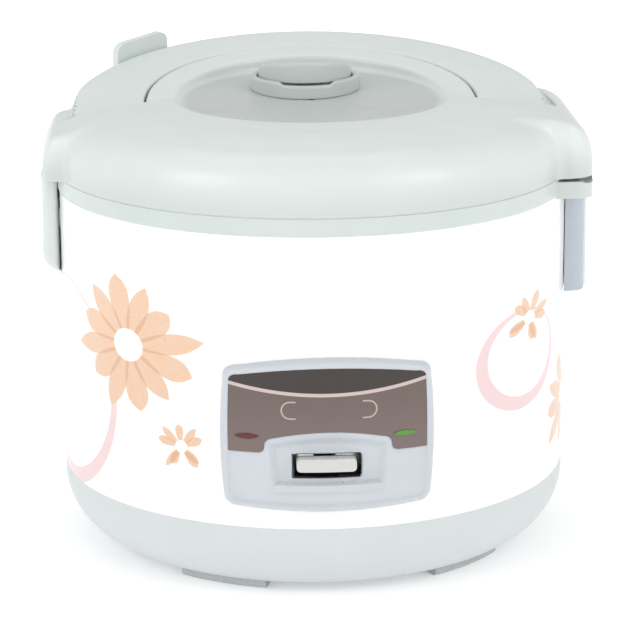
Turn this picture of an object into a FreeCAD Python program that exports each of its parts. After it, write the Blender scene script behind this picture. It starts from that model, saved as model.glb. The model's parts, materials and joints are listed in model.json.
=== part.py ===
"""Electric rice cooker: painted steel body, hinged lid with a folding carrying handle, side latch,
steam vent, dew collector, front switch and the cooking parts inside.

Millimetres. The origin is on the body's axis at floor level, +Z up, -Y the front with the switch,
+X the hinge side and -X the latch side. All parts are drawn closed, at rest."""

import FreeCAD, Part
import math
import os

V = FreeCAD.Vector
X_AXIS, Y_AXIS, Z_AXIS = V(1, 0, 0), V(0, 1, 0), V(0, 0, 1)
ORIGIN = V(0, 0, 0)

# ---------------------------------------------------------------- driving dimensions
BODY_R = 132.0            # outside of the painted jacket
SHEET = 0.8               # jacket thickness
WALL = 2.4                # moulded wall thickness
BASE_TOP = 40.0           # base shell meets the jacket
RING_BOTTOM = 186.7       # jacket meets the top ring
SEAM = 196.2              # top ring meets the lid
RIM_R = 132.6             # outside of the top ring and the lid's edge
FOOT_H = 4.0              # base floor above the ground

POT_R = 113.5             # outside of the inner pot
POT_T = 1.6
POT_BOTTOM = 56.3
POT_RIM = 197.0
LINER_R = 118.2           # outside of the heat shield around the pot
PLATE_R = 85.0            # heating plate
PLATE_TOP = 56.0
PLATE_BOTTOM = 44.0

HINGE_X, HINGE_Z = 138.8, 201.0     # lid hinge axis, along Y
HINGE_OUT = 144.7                   # outside of the lid's hinge shoulder
LATCH_OUT = 141.2                   # outside of the lid's latch shoulder
TAB_OUT = 144.0                     # outside of the ring's hinge tab
TAB_TOP, TAB_BOTTOM = 194.2, 185.6  # the tab's faces
SHOULDER_HALF = 51.0                # half width of the hinge shoulder
HINGE_CORNER, HINGE_BULGE = 9.0, 2.5  # its corners and the bow of its outer face, seen from above
LATCH_HALF = 38.0                   # half width of the latch shoulder

PIVOT_Y, PIVOT_Z = 2.0, 225.6       # handle pivot axis, along X
HANDLE_TILT = 8.5                   # degrees, the folded handle rises to the rear
HANDLE_IN, HANDLE_OUT = 86.6, 128.0
HANDLE_HALF = 5.0                   # half thickness of the handle
ROOM = 0.7                          # clearance between the handle and the lid

RECESS_R = 69.5
RECESS_SLOPE = 3.0                  # degrees, the recess floor rises to the rear
RECESS_MID_Z = 229.6                # recess floor at y = 0
VENT_X, VENT_Y = -2.0, 28.0
VENT_R, CAP_R = 29.0, 24.5
COLLAR_TOP = 238.0                  # rim of the vent's collar
CAP_MID_Z, CAP_SLANT = 243.4, 12.0  # middle of the cap's top, and the degrees by which it falls to the rear

SWITCH_Y, SWITCH_Z = -70.0, 31.0    # switch lever pivot, along X
LATCH_X, LATCH_Z = -136.2, 172.0    # latch lever pivot, along Y
SLOT_BOTTOM, SLOT_TOP, SLOT_HALF = 66.5, 78.2, 16.3       # the switch's opening in the panel
KNOB_BOTTOM, KNOB_TOP, KNOB_HALF = 71.0, 77.5, 14.6       # the switch lever's knob
LAMP_X, LAMP_Z = 38.8, 88.0         # centres of the lamp lenses
LENS_HALF, LENS_RISE = 5.9, 1.35    # half width of a lens, and its half height
PANEL_R = 136.0                     # outside of the control panel frame
PLATE_FACE_R = 135.2                # face of the panel's printed plate
PLATE_BACK_R = 134.4
DEW_BOTTOM, DEW_TOP, DEW_HALF, DEW_OUT = 130.0, 185.2, 22.5, 144.6
DEW_PEG_Y = 13.0                    # the collector's two pegs stand this far from its middle
INLET_Z = 60.0                      # centre of the power inlet
TERMINAL_X, TERMINAL_Y = 30.0, 76.0
PANEL_SCREWS = [(x, z) for x in (-36.0, 36.0) for z in (57.0, 111.0)]
BLADES = ((-7.0, INLET_Z - 1.6), (0.0, INLET_Z + 2.4), (7.0, INLET_Z - 1.6))     # (x, z) of the inlet's blades
TERMINALS = [TERMINAL_X + dx for dx in (-9, 0, 9)]
FOOT_ANGLES = [-28 + 72 * i for i in range(5)]
POST_ANGLES = (0, 120, 240)
COVER_SCREW_ANGLES = (45, 135, 225, 315)
PLATE_POST_R = 78.0                 # circle of the heating plate's posts

parts = {}


# ---------------------------------------------------------------- drawing helpers
def face(points, place):
    """Closed face. A pair is a corner; four numbers are an arc's middle point and its end."""
    edges = []
    here = points[0][-2:]
    for item in list(points[1:]) + [points[0]]:
        end = item[-2:]
        if len(item) == 4 and item is not points[0]:
            edges.append(Part.Arc(place(*here), place(*item[:2]), place(*end)).toShape())
        elif math.dist(here, end) > 1e-6:
            edges.append(Part.LineSegment(place(*here), place(*end)).toShape())
        here = end
    return Part.Face(Part.Wire(edges))


def revolve(points, angle=360.0):
    """Solid of revolution about Z from (r, z) points, starting at +X."""
    return face(points, lambda r, z: V(r, 0, z)).revolve(ORIGIN, Z_AXIS, angle)


def prism_y(points, y0, y1):
    """(x, z) outline carried from y0 to y1."""
    return face(points, lambda x, z: V(x, y0, z)).extrude(V(0, y1 - y0, 0))


def prism_x(points, x0, x1):
    """(y, z) outline carried from x0 to x1."""
    return face(points, lambda y, z: V(x0, y, z)).extrude(V(x1 - x0, 0, 0))


def prism_z(points, z0, z1):
    """(x, y) outline carried from z0 to z1."""
    return face(points, lambda x, y: V(x, y, z0)).extrude(V(0, 0, z1 - z0))


def box(x0, x1, y0, y1, z0, z1):
    return Part.makeBox(x1 - x0, y1 - y0, z1 - z0, V(x0, y0, z0))


def disc(r, z0, z1, x=0.0, y=0.0):
    return Part.makeCylinder(r, z1 - z0, V(x, y, z0), Z_AXIS)


def tube(r_out, r_in, z0, z1, x=0.0, y=0.0):
    return disc(r_out, z0, z1, x, y).cut(disc(r_in, z0 - 1, z1 + 1, x, y))


def rod(start, end, r):
    a, b = V(*start), V(*end)
    return Part.makeCylinder(r, (b - a).Length, a, b - a)


def rod_y(x, z, y0, y1, r):
    return rod((x, y0, z), (x, y1, z), r)


def rod_x(y, z, x0, x1, r):
    return rod((x0, y, z), (x1, y, z), r)


def fuse(shapes):
    shapes = list(shapes)
    return shapes[0].multiFuse(shapes[1:]).removeSplitter() if len(shapes) > 1 else shapes[0]


def group(shapes):
    return Part.makeCompound(list(shapes))


def turned(shape, degrees):
    """Copy turned about Z; 0 keeps it, positive is counter-clockwise seen from above."""
    copy = shape.copy()
    copy.rotate(ORIGIN, Z_AXIS, degrees)
    return copy


def around(shape, angles):
    return [turned(shape, a) for a in angles]


def rounded_plan(x0, x1, half, corner, bulge, z0, z1):
    """Upright block from x0 to x1, its outer face bowed by bulge, with rounded outer corners."""
    s = math.copysign(1.0, x1)
    edge = x1 - s * bulge
    k = corner * (1 - math.sqrt(0.5))
    return prism_z([
        (x0, -half), (edge - s * corner, -half),
        (edge - s * k, -half + k, edge, -half + corner),
        (x1, 0.0, edge, half - corner),
        (edge - s * k, half - k, edge - s * corner, half),
        (x0, half)], z0, z1)


def coil(radius, wire, length, turns, start, axis):
    """Helical spring with a round wire, centred on a line from start along axis."""
    helix = Part.makeHelix(length / turns, length, radius)
    section = Part.Wire(Part.makeCircle(wire, V(radius, 0, 0), Y_AXIS))
    spring = Part.Wire(helix.Edges).makePipeShell([section], True, True)
    spring.Placement = FreeCAD.Placement(V(*start), FreeCAD.Rotation(Z_AXIS, axis))
    return spring


def tilted_half_space(slope, z_at_0, y_at_0=0.0):
    """Everything below a plane that rises to the rear."""
    block = Part.makeBox(600, 600, 300, V(-300, -300, -300))
    block.rotate(ORIGIN, X_AXIS, slope)
    block.translate(V(0, y_at_0, z_at_0))
    return block


def add(name, shape):
    parts[name] = shape


# ---------------------------------------------------------------- base
def base_outline(inset):
    """Half section of the bowl-shaped base between its flat floor and the jacket line."""
    return [(110.0, FOOT_H + inset), (126.0 - 0.75 * inset, 16.2 + 0.6 * inset, BODY_R - inset, BASE_TOP)]


def make_base():
    floor_hole, spigot_top = 60.0, 47.0
    outer = base_outline(0.0)
    inner = base_outline(WALL)
    shell = revolve([(floor_hole, FOOT_H)] + outer + [(BODY_R - SHEET - 0.1, BASE_TOP),
                    (BODY_R - SHEET - 0.1, spigot_top), (BODY_R - WALL - 0.6, spigot_top),
                    (BODY_R - WALL - 0.6, BASE_TOP - 2.0),
                    (126.0 - 0.75 * WALL - 0.5, 16.2 + 0.6 * WALL, inner[0][0], inner[0][1]),
                    (floor_hole, FOOT_H + WALL)])
    rib = tube(100.0, 98.0, FOOT_H + 1.0, 42.0).cut(box(-10, 10, -110, -90, FOOT_H + WALL, 43))
    rib = rib.cut(box(TERMINAL_X - 15, TERMINAL_X + 15, 80, 110, FOOT_H + WALL, 24))
    posts = around(disc(6.0, FOOT_H + 1.0, PLATE_BOTTOM, 0, PLATE_POST_R), POST_ANGLES)
    shell = fuse([shell, rib] + posts)
    holes = around(disc(1.6, FOOT_H - 1, PLATE_BOTTOM + 1, 0, PLATE_POST_R), POST_ANGLES)
    holes += around(disc(1.5, FOOT_H - 1, FOOT_H + WALL + 1, 0, 63), COVER_SCREW_ANGLES)
    add("base_shell", shell.cut(group(holes)))

    plate_screws = around(fuse([disc(1.6, FOOT_H - 0.6, PLATE_BOTTOM + 6, 0, PLATE_POST_R),
                                disc(3.2, FOOT_H - 1.6, FOOT_H, 0, PLATE_POST_R)]), POST_ANGLES)
    add("heating_plate_screws", group(plate_screws))

    cover = disc(68.0, 2.4, FOOT_H)
    vents = [box(-24, 24, y - 1.5, y + 1.5, 0, 10) for y in range(-40, 41, 10)]
    screw_holes = around(disc(1.5, 0, 10, 0, 63), COVER_SCREW_ANGLES)
    add("bottom_cover", cover.cut(group(vents + screw_holes)))
    screw = fuse([disc(3.0, 1.0, 2.4, 0, 63), disc(1.5, 1.2, FOOT_H + WALL, 0, 63)])
    add("bottom_cover_screws", group(around(screw, COVER_SCREW_ANGLES)))

    wedge = prism_z([(0, 0), (-26, -117.3), (0, -120.2, 26, -117.3)], 0, FOOT_H)
    foot = revolve([(97.5, FOOT_H), (97.5, 1.2), (98.7, 0.0), (108.8, 0.0), (110.0, 1.2), (110.0, FOOT_H)])
    foot = foot.common(wedge)
    add("feet", group(around(foot, FOOT_ANGLES)))


# ---------------------------------------------------------------- jacket and top ring
def make_jacket():
    jacket = tube(BODY_R, BODY_R - SHEET, BASE_TOP, RING_BOTTOM)
    cuts = [box(-46.6, 46.6, -140, -100, 62, 100)]
    cuts += [rod((x, -140, z), (x, -100, z), 3.2) for x, z in PANEL_SCREWS]
    cuts += [box(-17.4, 17.4, 120, 140, INLET_Z - 13.2, INLET_Z + 13.2)]
    cuts += [box(-140, -120, -17.2, 17.2, 142.4, RING_BOTTOM + 1)]
    cuts += [box(120, 140, s * DEW_PEG_Y - 4.5, s * DEW_PEG_Y + 4.5, 164, 176) for s in (-1, 1)]
    add("outer_jacket", jacket.cut(group(cuts)))


def make_top_ring():
    ring = revolve([
        (RIM_R - 0.6, RING_BOTTOM), (RIM_R, RING_BOTTOM + 1.5), (RIM_R, SEAM - 0.6), (RIM_R - 0.6, SEAM - 0.2),
        (123.0, SEAM - 0.2), (123.0, 199.0), (119.6, 199.0), (119.6, 189.5), (LINER_R + 0.1, 189.5),
        (LINER_R + 0.1, 187.0), (121.2, 187.0), (121.2, SEAM - 2.6), (129.2, SEAM - 2.6),
        (129.2, 179.0), (BODY_R - SHEET - 0.1, 179.0), (BODY_R - SHEET - 0.1, RING_BOTTOM)])
    tab = rounded_plan(118.0, TAB_OUT, SHOULDER_HALF, HINGE_CORNER, HINGE_BULGE, TAB_BOTTOM, TAB_TOP)
    tab = tab.cut(disc(BODY_R - 0.6, TAB_BOTTOM - 1, TAB_TOP + 1))
    inside = rounded_plan(118.0, TAB_OUT - WALL, SHOULDER_HALF - WALL, HINGE_CORNER - WALL, HINGE_BULGE,
                          TAB_BOTTOM - 1, TAB_TOP - WALL)
    tab = tab.cut(inside.cut(disc(BODY_R + 1.6, 0, 300)))
    tab = tab.cut(disc(BODY_R + 0.05, TAB_BOTTOM - 1, RING_BOTTOM))
    drains = [disc(2.5, TAB_BOTTOM, TAB_TOP + 5, 139.0, s * 16) for s in (-1, 1)]
    seat = box(122.9, 132.0, -33, 33, 194.0, 200)
    bores = [disc(1.3, 188, 200, 127.5, s * 22) for s in (-1, 1)]
    swing = rod_y(HINGE_X, HINGE_Z, -SHOULDER_HALF - 2, SHOULDER_HALF + 2, 7.9)
    swing = swing.common(box(131.5, 150, -60, 60, 180, 201))
    latch_room = box(-140, -129.0, -17.2, 17.2, 170, RING_BOTTOM - 0.05)
    ring = fuse([ring, tab]).cut(group(drains + bores)).cut(seat).cut(swing).cut(latch_room)
    add("top_ring", ring)


def make_liner():
    t = 0.7
    liner = revolve([(88.0, 42.0), (LINER_R - 6, 42.0), (LINER_R - 1.8, 43.8, LINER_R, 48.0), (LINER_R, 189.5),
                     (LINER_R - t, 189.5), (LINER_R - t, 48.2),
                     (LINER_R - 2.4, 44.4, LINER_R - 6, 42.0 + t), (88.0, 42.0 + t)])
    add("heat_shield", liner)
    add("side_heater", tube(LINER_R + 1.6, LINER_R, 100, 116).cut(box(-8, 8, 100, 130, 90, 130)))


# ---------------------------------------------------------------- heating parts
def make_heating():
    plate = revolve([(21.0, PLATE_BOTTOM), (PLATE_R - 3, PLATE_BOTTOM), (PLATE_R, PLATE_BOTTOM + 3),
                     (PLATE_R, PLATE_TOP - 4.0), (PLATE_R - 1.2, PLATE_TOP - 1.2, PLATE_R - 4.0, PLATE_TOP),
                     (22.0, PLATE_TOP), (21.0, PLATE_TOP - 1)])
    ring = Part.makeTorus(58.0, 4.0, V(0, 0, PLATE_BOTTOM + 1.0), Z_AXIS)
    screw_bores = around(disc(1.6, PLATE_BOTTOM - 1, PLATE_BOTTOM + 6, 0, PLATE_POST_R), POST_ANGLES)
    add("heating_plate", plate.cut(ring).cut(group(screw_bores)))
    terminals = [rod((s * 14, 56.3, 25), (s * 14, 56.3, 41.5), 1.6) for s in (-1, 1)]
    gap = box(-9, 9, 50, 66, 30, 60)
    add("heating_element", fuse([ring.cut(gap)] + terminals))

    cup = revolve([(2.6, 39.0), (20.0, 39.0), (20.0, 43.2), (28.0, 43.2), (28.0, 44.0), (19.4, 44.0),
                   (19.4, 39.8), (2.6, 39.8)])
    add("thermostat_housing", cup)
    add("thermostat_spring", coil(14.5, 0.7, 13.4, 4, (0, 0, 40.6), Z_AXIS))
    cap = revolve([(0, 55.2), (17.8, 55.2), (17.8, 47.0), (18.6, 47.0), (18.6, 54.8),
                   (18.3, 55.6, 17.6, 56.0), (0, 56.0)])
    add("thermostat_cap", cap)
    add("thermostat_ferrite", disc(12.0, 51.5, 55.2))
    add("lift_magnet", tube(11.0, 1.8, 41.4, 45.4))
    add("magnet_rod", fuse([disc(1.8, 24.0, 45.4), disc(5.0, 33.2, 34.2), disc(4.0, 24.8, 27.0)]))

    fuse_body = fuse([rod_y(34, 39.6, -12, 12, 3.2), rod_y(34, 39.6, -20, 20, 0.8)])
    clip = box(29, 39, -4, 4, 36.0, PLATE_BOTTOM).cut(rod_y(34, 39.6, -30, 30, 3.2))
    clip = clip.cut(box(31, 37, -5, 5, 30, 39.6))
    add("thermal_fuse", group([fuse_body, clip]))
    add("warm_thermostat", fuse([disc(8.0, 36.0, PLATE_BOTTOM, -40, 0), disc(10.0, 42.6, PLATE_BOTTOM, -40, 0),
                                 box(-41.5, -38.5, -15, 15, 37.0, 37.8)]))


def make_switchgear():
    lever_low, lever_top = 29.5, 32.0
    arm = box(-6, 6, -125.5, 4, lever_low, lever_top)
    upright = box(-6, 6, -125.5, -123.0, lever_low, 75.0)
    stem = box(-6, 6, -132.0, -123.0, 72.6, 75.0)
    low, top, half, corner = KNOB_BOTTOM, KNOB_TOP, KNOB_HALF, 2.0
    k = corner * (1 - math.sqrt(0.5))
    knob = prism_y([(-half, low + corner), (-half + k, low + k, -half + corner, low), (half - corner, low),
                    (half - k, low + k, half, low + corner), (half, top - corner),
                    (half - k, top - k, half - corner, top), (-half + corner, top),
                    (-half + k, top - k, -half, top - corner)], -137.6, -130.6)
    knob = knob.common(disc(137.6, 60, 90))
    hub = rod_x(SWITCH_Y, SWITCH_Z, -4, 4, 4.0)
    lever = fuse([arm, upright, stem, knob, hub])
    lever = lever.cut(rod_x(SWITCH_Y, SWITCH_Z, -8, 8, 1.55)).cut(box(-2.4, 2.4, -6, 5, 20, 40))
    lever = lever.cut(box(-7, -4, -76, -64, 20, 40)).cut(box(4, 7, -76, -64, 20, 40))
    add("switch_lever", lever)

    ear = prism_x([(-78, 6.4), (-62, 6.4), (-65.5, SWITCH_Z), (SWITCH_Y, SWITCH_Z + 4.5, -74.5, SWITCH_Z)],
                  8.0, 9.5)
    other = ear.mirror(ORIGIN, X_AXIS)
    foot = box(-15, 15, -78, -62, 6.4, 7.9)
    bracket = fuse([ear, other, foot]).cut(rod_x(SWITCH_Y, SWITCH_Z, -12, 12, 1.5))
    add("switch_bracket", bracket)
    add("switch_lever_pin", rod_x(SWITCH_Y, SWITCH_Z, -11, 11, 1.5))
    add("switch_lever_spring", coil(2.5, 0.35, 2.4, 3, (4.8, SWITCH_Y, SWITCH_Z), X_AXIS))

    body = box(-3.2, 3.2, -96.5, -80.0, 16.0, 26.0)
    pedestal = box(-3.2, 3.2, -95.0, -82.0, 6.4, 16.0)
    add("microswitch", fuse([body, pedestal, rod((0, -88, 25.0), (0, -88, 27.2), 1.4)]))

    block = box(TERMINAL_X - 14, TERMINAL_X + 14, TERMINAL_Y - 7, TERMINAL_Y + 7, FOOT_H + WALL, 17.0)
    block = block.cut(group([disc(2.4, 12.0, 18.0, x, TERMINAL_Y) for x in TERMINALS]))
    add("terminal_block", group([block] + [disc(2.4, 12.0, 16.2, x, TERMINAL_Y) for x in TERMINALS]))


# ---------------------------------------------------------------- power inlet and wiring
def make_inlet():
    low, high = INLET_Z - 14.5, INLET_Z + 14.5
    flange = box(-21, 21, 126, 138.2, low, high).cut(disc(BODY_R + 0.05, 0, 200))
    body = box(-17, 17, 120.0, 133.0, INLET_Z - 12.8, INLET_Z + 12.8)
    socket = box(-12.2, 12.2, 122.5, 140, INLET_Z - 8.2, INLET_Z + 8.2)
    inlet = fuse([flange, body]).cut(socket)
    slots = [box(x - 1.1, x + 1.1, 118, 124, z - 2.6, z + 2.6) for x, z in BLADES]
    add("power_inlet", inlet.cut(group(slots)))
    blades = [box(x - 1.1, x + 1.1, 119.6, 131.4, z - 2.6, z + 2.6) for x, z in BLADES]
    add("power_inlet_blades", group(blades))


def wire_run(points, r):
    """Insulated wire along straight runs with round corners."""
    shapes = [rod(a, b, r) for a, b in zip(points, points[1:])]
    shapes += [Part.makeSphere(r, V(*p)) for p in points[1:-1]]
    return fuse(shapes)


def make_wiring():
    wires = []
    for (x, _), end_x in zip(BLADES, TERMINALS):
        route = [(x, 121.6, INLET_Z - 12.8), (x, 121.6, 27.0), (end_x, 110.0, 12.0), (end_x, TERMINAL_Y + 7, 12.0)]
        wires.append(wire_run(route, 1.2))
    add("internal_wiring", group(wires))


# ---------------------------------------------------------------- control panel
def panel_outline(inset):
    i = inset
    return [
        (-43.5, 51.4 + i), (0, 49.6 + i, 43.5, 51.4 + i), (48.4 - i, 53.2 + i, 50.3 - i, 58.0 + i),
        (52.5 - i, 87.0, 50.3 - i, 113.0 - i), (48.8 - i, 118.2 - i, 43.5, 120.7 - i),
        (0, 127.3 - i, -43.5, 120.7 - i), (-48.8 + i, 118.2 - i, -50.3 + i, 113.0 - i),
        (-52.5 + i, 87.0, -50.3 + i, 58.0 + i), (-48.4 + i, 53.2 + i, -43.5, 51.4 + i)]


def plate_outline():
    """Printed plate: arched top, and a notch at the bottom that follows the arch over the switch."""
    return [
        (-60.0, 79.8), (-34.4, 79.8), (-32.2, 80.6, -31.4, 82.8), (-30.2, 86.0, -26.6, 87.3),
        (0, 90.4, 26.6, 87.3), (30.2, 86.0, 31.4, 82.8), (32.2, 80.6, 34.4, 79.8), (60.0, 79.8), (60.0, 130.0),
        (-60.0, 130.0)]


def curved_sheet(outline, r_in, r_out):
    """Outline seen from the front, carried onto a cylindrical sheet at the front of the body."""
    block = prism_y(outline, -160, -90)
    return block.common(disc(r_out, 0, 200)).cut(disc(r_in, -1, 201))


def lens_outline(x, half, rise):
    return [(x - half, LAMP_Z), (x, LAMP_Z + rise, x + half, LAMP_Z), (x, LAMP_Z - rise, x - half, LAMP_Z)]


def make_panel():
    frame = curved_sheet(panel_outline(0.0), BODY_R + 0.05, PANEL_R)
    frame = frame.cut(curved_sheet(panel_outline(3.2), PLATE_BACK_R, PANEL_R + 5))
    pocket = [(-26.0, 58.6), (26.0, 58.6), (28.4, 79.0), (27.4, 83.2, 23.6, 84.6),
              (0, 87.6, -23.6, 84.6), (-27.4, 83.2, -28.4, 79.0)]
    frame = frame.cut(curved_sheet(pocket, BODY_R + 1.3, PANEL_R + 5))
    frame = frame.cut(box(-SLOT_HALF, SLOT_HALF, -150, -100, SLOT_BOTTOM, SLOT_TOP))
    bosses = [rod((x, -121.6, z), (x, -127.8, z), 3.0) for x, z in PANEL_SCREWS]
    bores = [rod((x, -121, z), (x, -127.6, z), 1.3) for x, z in PANEL_SCREWS]
    lamp_holes = [curved_sheet(lens_outline(s * LAMP_X, LENS_HALF, LENS_RISE), 120, 150) for s in (-1, 1)]
    frame = fuse([frame] + bosses).cut(group(bores + lamp_holes))
    add("panel_frame", frame)
    screws = [fuse([rod((x, -119.4, z), (x, -127.6, z), 1.3), rod((x, -119.4, z), (x, -121.6, z), 3.0)])
              for x, z in PANEL_SCREWS]
    add("panel_screws", group(screws))

    plate = curved_sheet(plate_outline(), PLATE_BACK_R, PLATE_FACE_R)
    plate = plate.common(prism_y(panel_outline(3.3), -160, -90))
    add("panel_plate", plate.cut(group(lamp_holes)))
    for name, side in (("cook_lamp_lens", -1), ("warm_lamp_lens", 1)):
        lens = lens_outline(side * LAMP_X, LENS_HALF, LENS_RISE)
        add(name, curved_sheet(lens, BODY_R - 0.5, PLATE_FACE_R + 0.5))
    board = box(-46, 46, -121.4, -119.8, 81.0, 96.0)
    neon_lamps = [rod((s * LAMP_X, -121.4, LAMP_Z), (s * LAMP_X, -124.6, LAMP_Z), 2.4) for s in (-1, 1)]
    add("lamp_board", group([board] + neon_lamps))


# ---------------------------------------------------------------- latch
def make_latch():
    out, width, t = LATCH_OUT, 16.4, 2.2
    outer = [(-131.7, 195.6), (-out + 0.8, 195.6), (-out, 194.8), (-out, 157.0), (-out + 2.6, 147.6, -131.7, 143.2)]
    inner = [(-131.0, 200), (-out + t, 200), (-out + t, 157.4), (-out + t + 2.0, 149.6, -131.0, 145.6)]
    shell = prism_y(outer, -width, width).cut(prism_y(inner, -width + t, width - t))
    shell = shell.cut(disc(RIM_R + 0.35, RING_BOTTOM - 4, 200))
    hook = prism_y([(-139.4, 176.0), (-136.2, 176.0), (-134.6, 179.0), (-134.6, 200.9), (-133.4, 200.9),
                    (-133.4, 202.2), (-134.8, 203.6), (-136.2, 203.6), (-136.2, 182.0), (-139.4, 180.0)], -8, 8)
    ribs = [prism_y([(-139.2, 168.5), (LATCH_X, LATCH_Z - 2.8), (LATCH_X + 2.8, LATCH_Z, LATCH_X, LATCH_Z + 2.8),
                     (-139.2, 175.5)], s * 8.0 - 1.2, s * 8.0 + 1.2) for s in (-1, 1)]
    lever = fuse([shell, hook] + ribs).cut(rod_y(LATCH_X, LATCH_Z, -20, 20, 1.25))
    add("latch_lever", lever)

    plate = box(-129.0, -127.4, -19, 19, 148.0, 186.6)
    ears = [prism_y([(-128.0, 164.5), (-133.0, 168.4), (LATCH_X, LATCH_Z - 2.4), (LATCH_X - 2.2, LATCH_Z,
                     LATCH_X, LATCH_Z + 2.4), (-133.0, 175.6), (-128.0, 179.5)], s * 11.6 - 1.2, s * 11.6 + 1.2)
            for s in (-1, 1)]
    bracket = fuse([plate.common(disc(129.0, 140, 190))] + ears)
    add("latch_bracket", bracket.cut(rod_y(LATCH_X, LATCH_Z, -20, 20, 1.2)))
    add("latch_pin", rod_y(LATCH_X, LATCH_Z, -13.4, 13.4, 1.2))
    add("latch_spring", coil(1.95, 0.3, 10.0, 9, (LATCH_X, -5.0, LATCH_Z), Y_AXIS))


# ---------------------------------------------------------------- hinge
def make_hinge():
    plate = box(123.4, 131.6, -32.0, 32.0, 194.0, 195.5)
    arms = [prism_y([(125.0, 194.8), (130.0, 194.8), (137.4, 198.6), (HINGE_X + 2.0, HINGE_Z - 1.9),
                     (HINGE_X + 3.0, HINGE_Z, HINGE_X, HINGE_Z + 2.8), (136.0, 202.6), (125.0, 198.6)],
                    s * 30.0 - 1.8, s * 30.0 + 1.8) for s in (-1, 1)]
    bracket = fuse([plate] + arms).cut(rod_y(HINGE_X, HINGE_Z, -40, 40, 1.55))
    screw_holes = [disc(1.3, 190, 200, 127.5, s * 22) for s in (-1, 1)]
    add("hinge_bracket", bracket.cut(group(screw_holes)))
    screws = [fuse([disc(1.3, 188.5, 196.6, 127.5, s * 22), disc(2.6, 195.5, 197.0, 127.5, s * 22)])
              for s in (-1, 1)]
    add("hinge_screws", group(screws))
    add("hinge_pin", rod_y(HINGE_X, HINGE_Z, -38.6, 38.6, 1.5))
    add("hinge_spring", coil(2.35, 0.4, 16.0, 12, (HINGE_X, -8.0, HINGE_Z), Y_AXIS))


# ---------------------------------------------------------------- dew collector
def make_dew_collector():
    def block(grow, z0, z1):
        return rounded_plan(112.0, DEW_OUT + grow, DEW_HALF + grow, HINGE_CORNER + grow, HINGE_BULGE, z0, z1)
    clear = BODY_R + 0.4
    t = 1.6
    cup = block(0.0, DEW_BOTTOM, DEW_TOP).cut(disc(clear, 0, 300))
    cup = cup.common(prism_y([(100, 186), (150, 186), (150, 141.0), (146.4, 133.2, 138.0, DEW_BOTTOM - 0.2),
                              (100, DEW_BOTTOM - 0.2)], -60, 60))
    hollow = block(-t, DEW_BOTTOM + t, DEW_TOP + 5).cut(disc(clear + t, 0, 300))
    hollow = hollow.common(prism_y([(100, 190), (150, 190), (150, 142.0), (144.8, 134.8, 137.0, DEW_BOTTOM + t),
                                    (100, DEW_BOTTOM + t)], -60, 60))
    pegs = [box(125.0, 136.0, s * DEW_PEG_Y - 3.5, s * DEW_PEG_Y + 3.5, 167.0, 172.0) for s in (-1, 1)]
    hooks = [box(125.0, 126.6, s * DEW_PEG_Y - 3.5, s * DEW_PEG_Y + 3.5, 167.0, 174.0) for s in (-1, 1)]
    add("dew_collector", fuse([cup.cut(hollow)] + pegs + hooks))
    inner = block(-t - 0.15, DEW_BOTTOM + 3.4, 166.0).cut(disc(clear + t + 0.15, 0, 300))
    slope = [(100, 168), (150, 168), (150, 143.0), (143.2, 136.6, 136.4, DEW_BOTTOM + 3.4),
             (100, DEW_BOTTOM + 3.4)]
    inner = inner.common(prism_y(slope, -60, 60))
    scoop = block(-t - 1.5, DEW_BOTTOM + 4.8, 168.0).cut(disc(clear + t + 1.5, 0, 300))
    scoop = scoop.common(prism_y([(100, 170), (150, 170), (150, 144.0), (142.0, 138.0, 135.6, DEW_BOTTOM + 4.8),
                                  (100, DEW_BOTTOM + 4.8)], -60, 60))
    add("dew_collector_cup", inner.cut(scoop))


# ---------------------------------------------------------------- lid
def lid_profile(inset, bottom):
    i = inset
    return [(0, bottom), (RIM_R - i, bottom), (RIM_R - i, 199.0),
            (131.8 - i, 210.0, 128.6 - 0.9 * i, 217.4 - 0.5 * i),
            (122.8 - 0.5 * i, 222.8 - 0.8 * i, 114.0 - 0.3 * i, 226.0 - i),
            (100.0, 229.2 - i, 86.0, 230.2 - i), (78.0, 230.8 - i, 60.0, 231.0 - i), (0, 231.0 - i)]


def hinge_shoulder(inset):
    i = inset
    side = [(112.0, 195.6), (HINGE_OUT - i - 1.5, 195.6), (HINGE_OUT - i - 0.4, 196.0, HINGE_OUT - i, 197.1),
            (HINGE_OUT - i, 201.0), (141.2 - i, 212.0 - 0.6 * i, 135.4 - 0.6 * i, 219.6 - 0.8 * i),
            (129.8 - 0.3 * i, 223.8 - i, 122.0, 225.2 - i), (112.0, 225.6 - i)]
    plan = rounded_plan(112.0, HINGE_OUT - i, SHOULDER_HALF - i, HINGE_CORNER, HINGE_BULGE, 190, 230)
    return prism_y(side, -70, 70).common(plan)


def latch_shoulder(inset):
    i = inset
    side = [(-112.0, SEAM), (-LATCH_OUT + i, SEAM), (-LATCH_OUT + i, 200.0),
            (-138.8 + i, 211.6 - 0.6 * i, -131.0 + 0.6 * i, 218.8 - 0.8 * i),
            (-124.0, 221.6 - i, -112.0, 223.0 - i)]
    plan = rounded_plan(-112.0, -LATCH_OUT + i, LATCH_HALF - i, 7.0, 3.0, 190, 230)
    return prism_y(side, -70, 70).common(plan)


def handle_axis_sphere(r):
    return Part.makeSphere(r, V(0, PIVOT_Y, PIVOT_Z))


def handle_room(extra):
    """Space that the handle sweeps in the lid, with a clearance of extra all round."""
    low = HANDLE_HALF + extra
    slab = Part.makeBox(400, 200, 120, V(-200, 0, -low))
    slab.rotate(ORIGIN, X_AXIS, HANDLE_TILT)
    slab.translate(V(0, PIVOT_Y, PIVOT_Z))
    upright = box(-200, 200, PIVOT_Y - low, PIVOT_Y + low, PIVOT_Z, 300)
    swept = slab.fuse(rod_x(PIVOT_Y, PIVOT_Z, -200, 200, low)).fuse(upright)
    return swept.common(handle_axis_sphere(HANDLE_OUT + 0.6 + extra)).cut(
        handle_axis_sphere(HANDLE_IN - 0.1 - extra))


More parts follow.
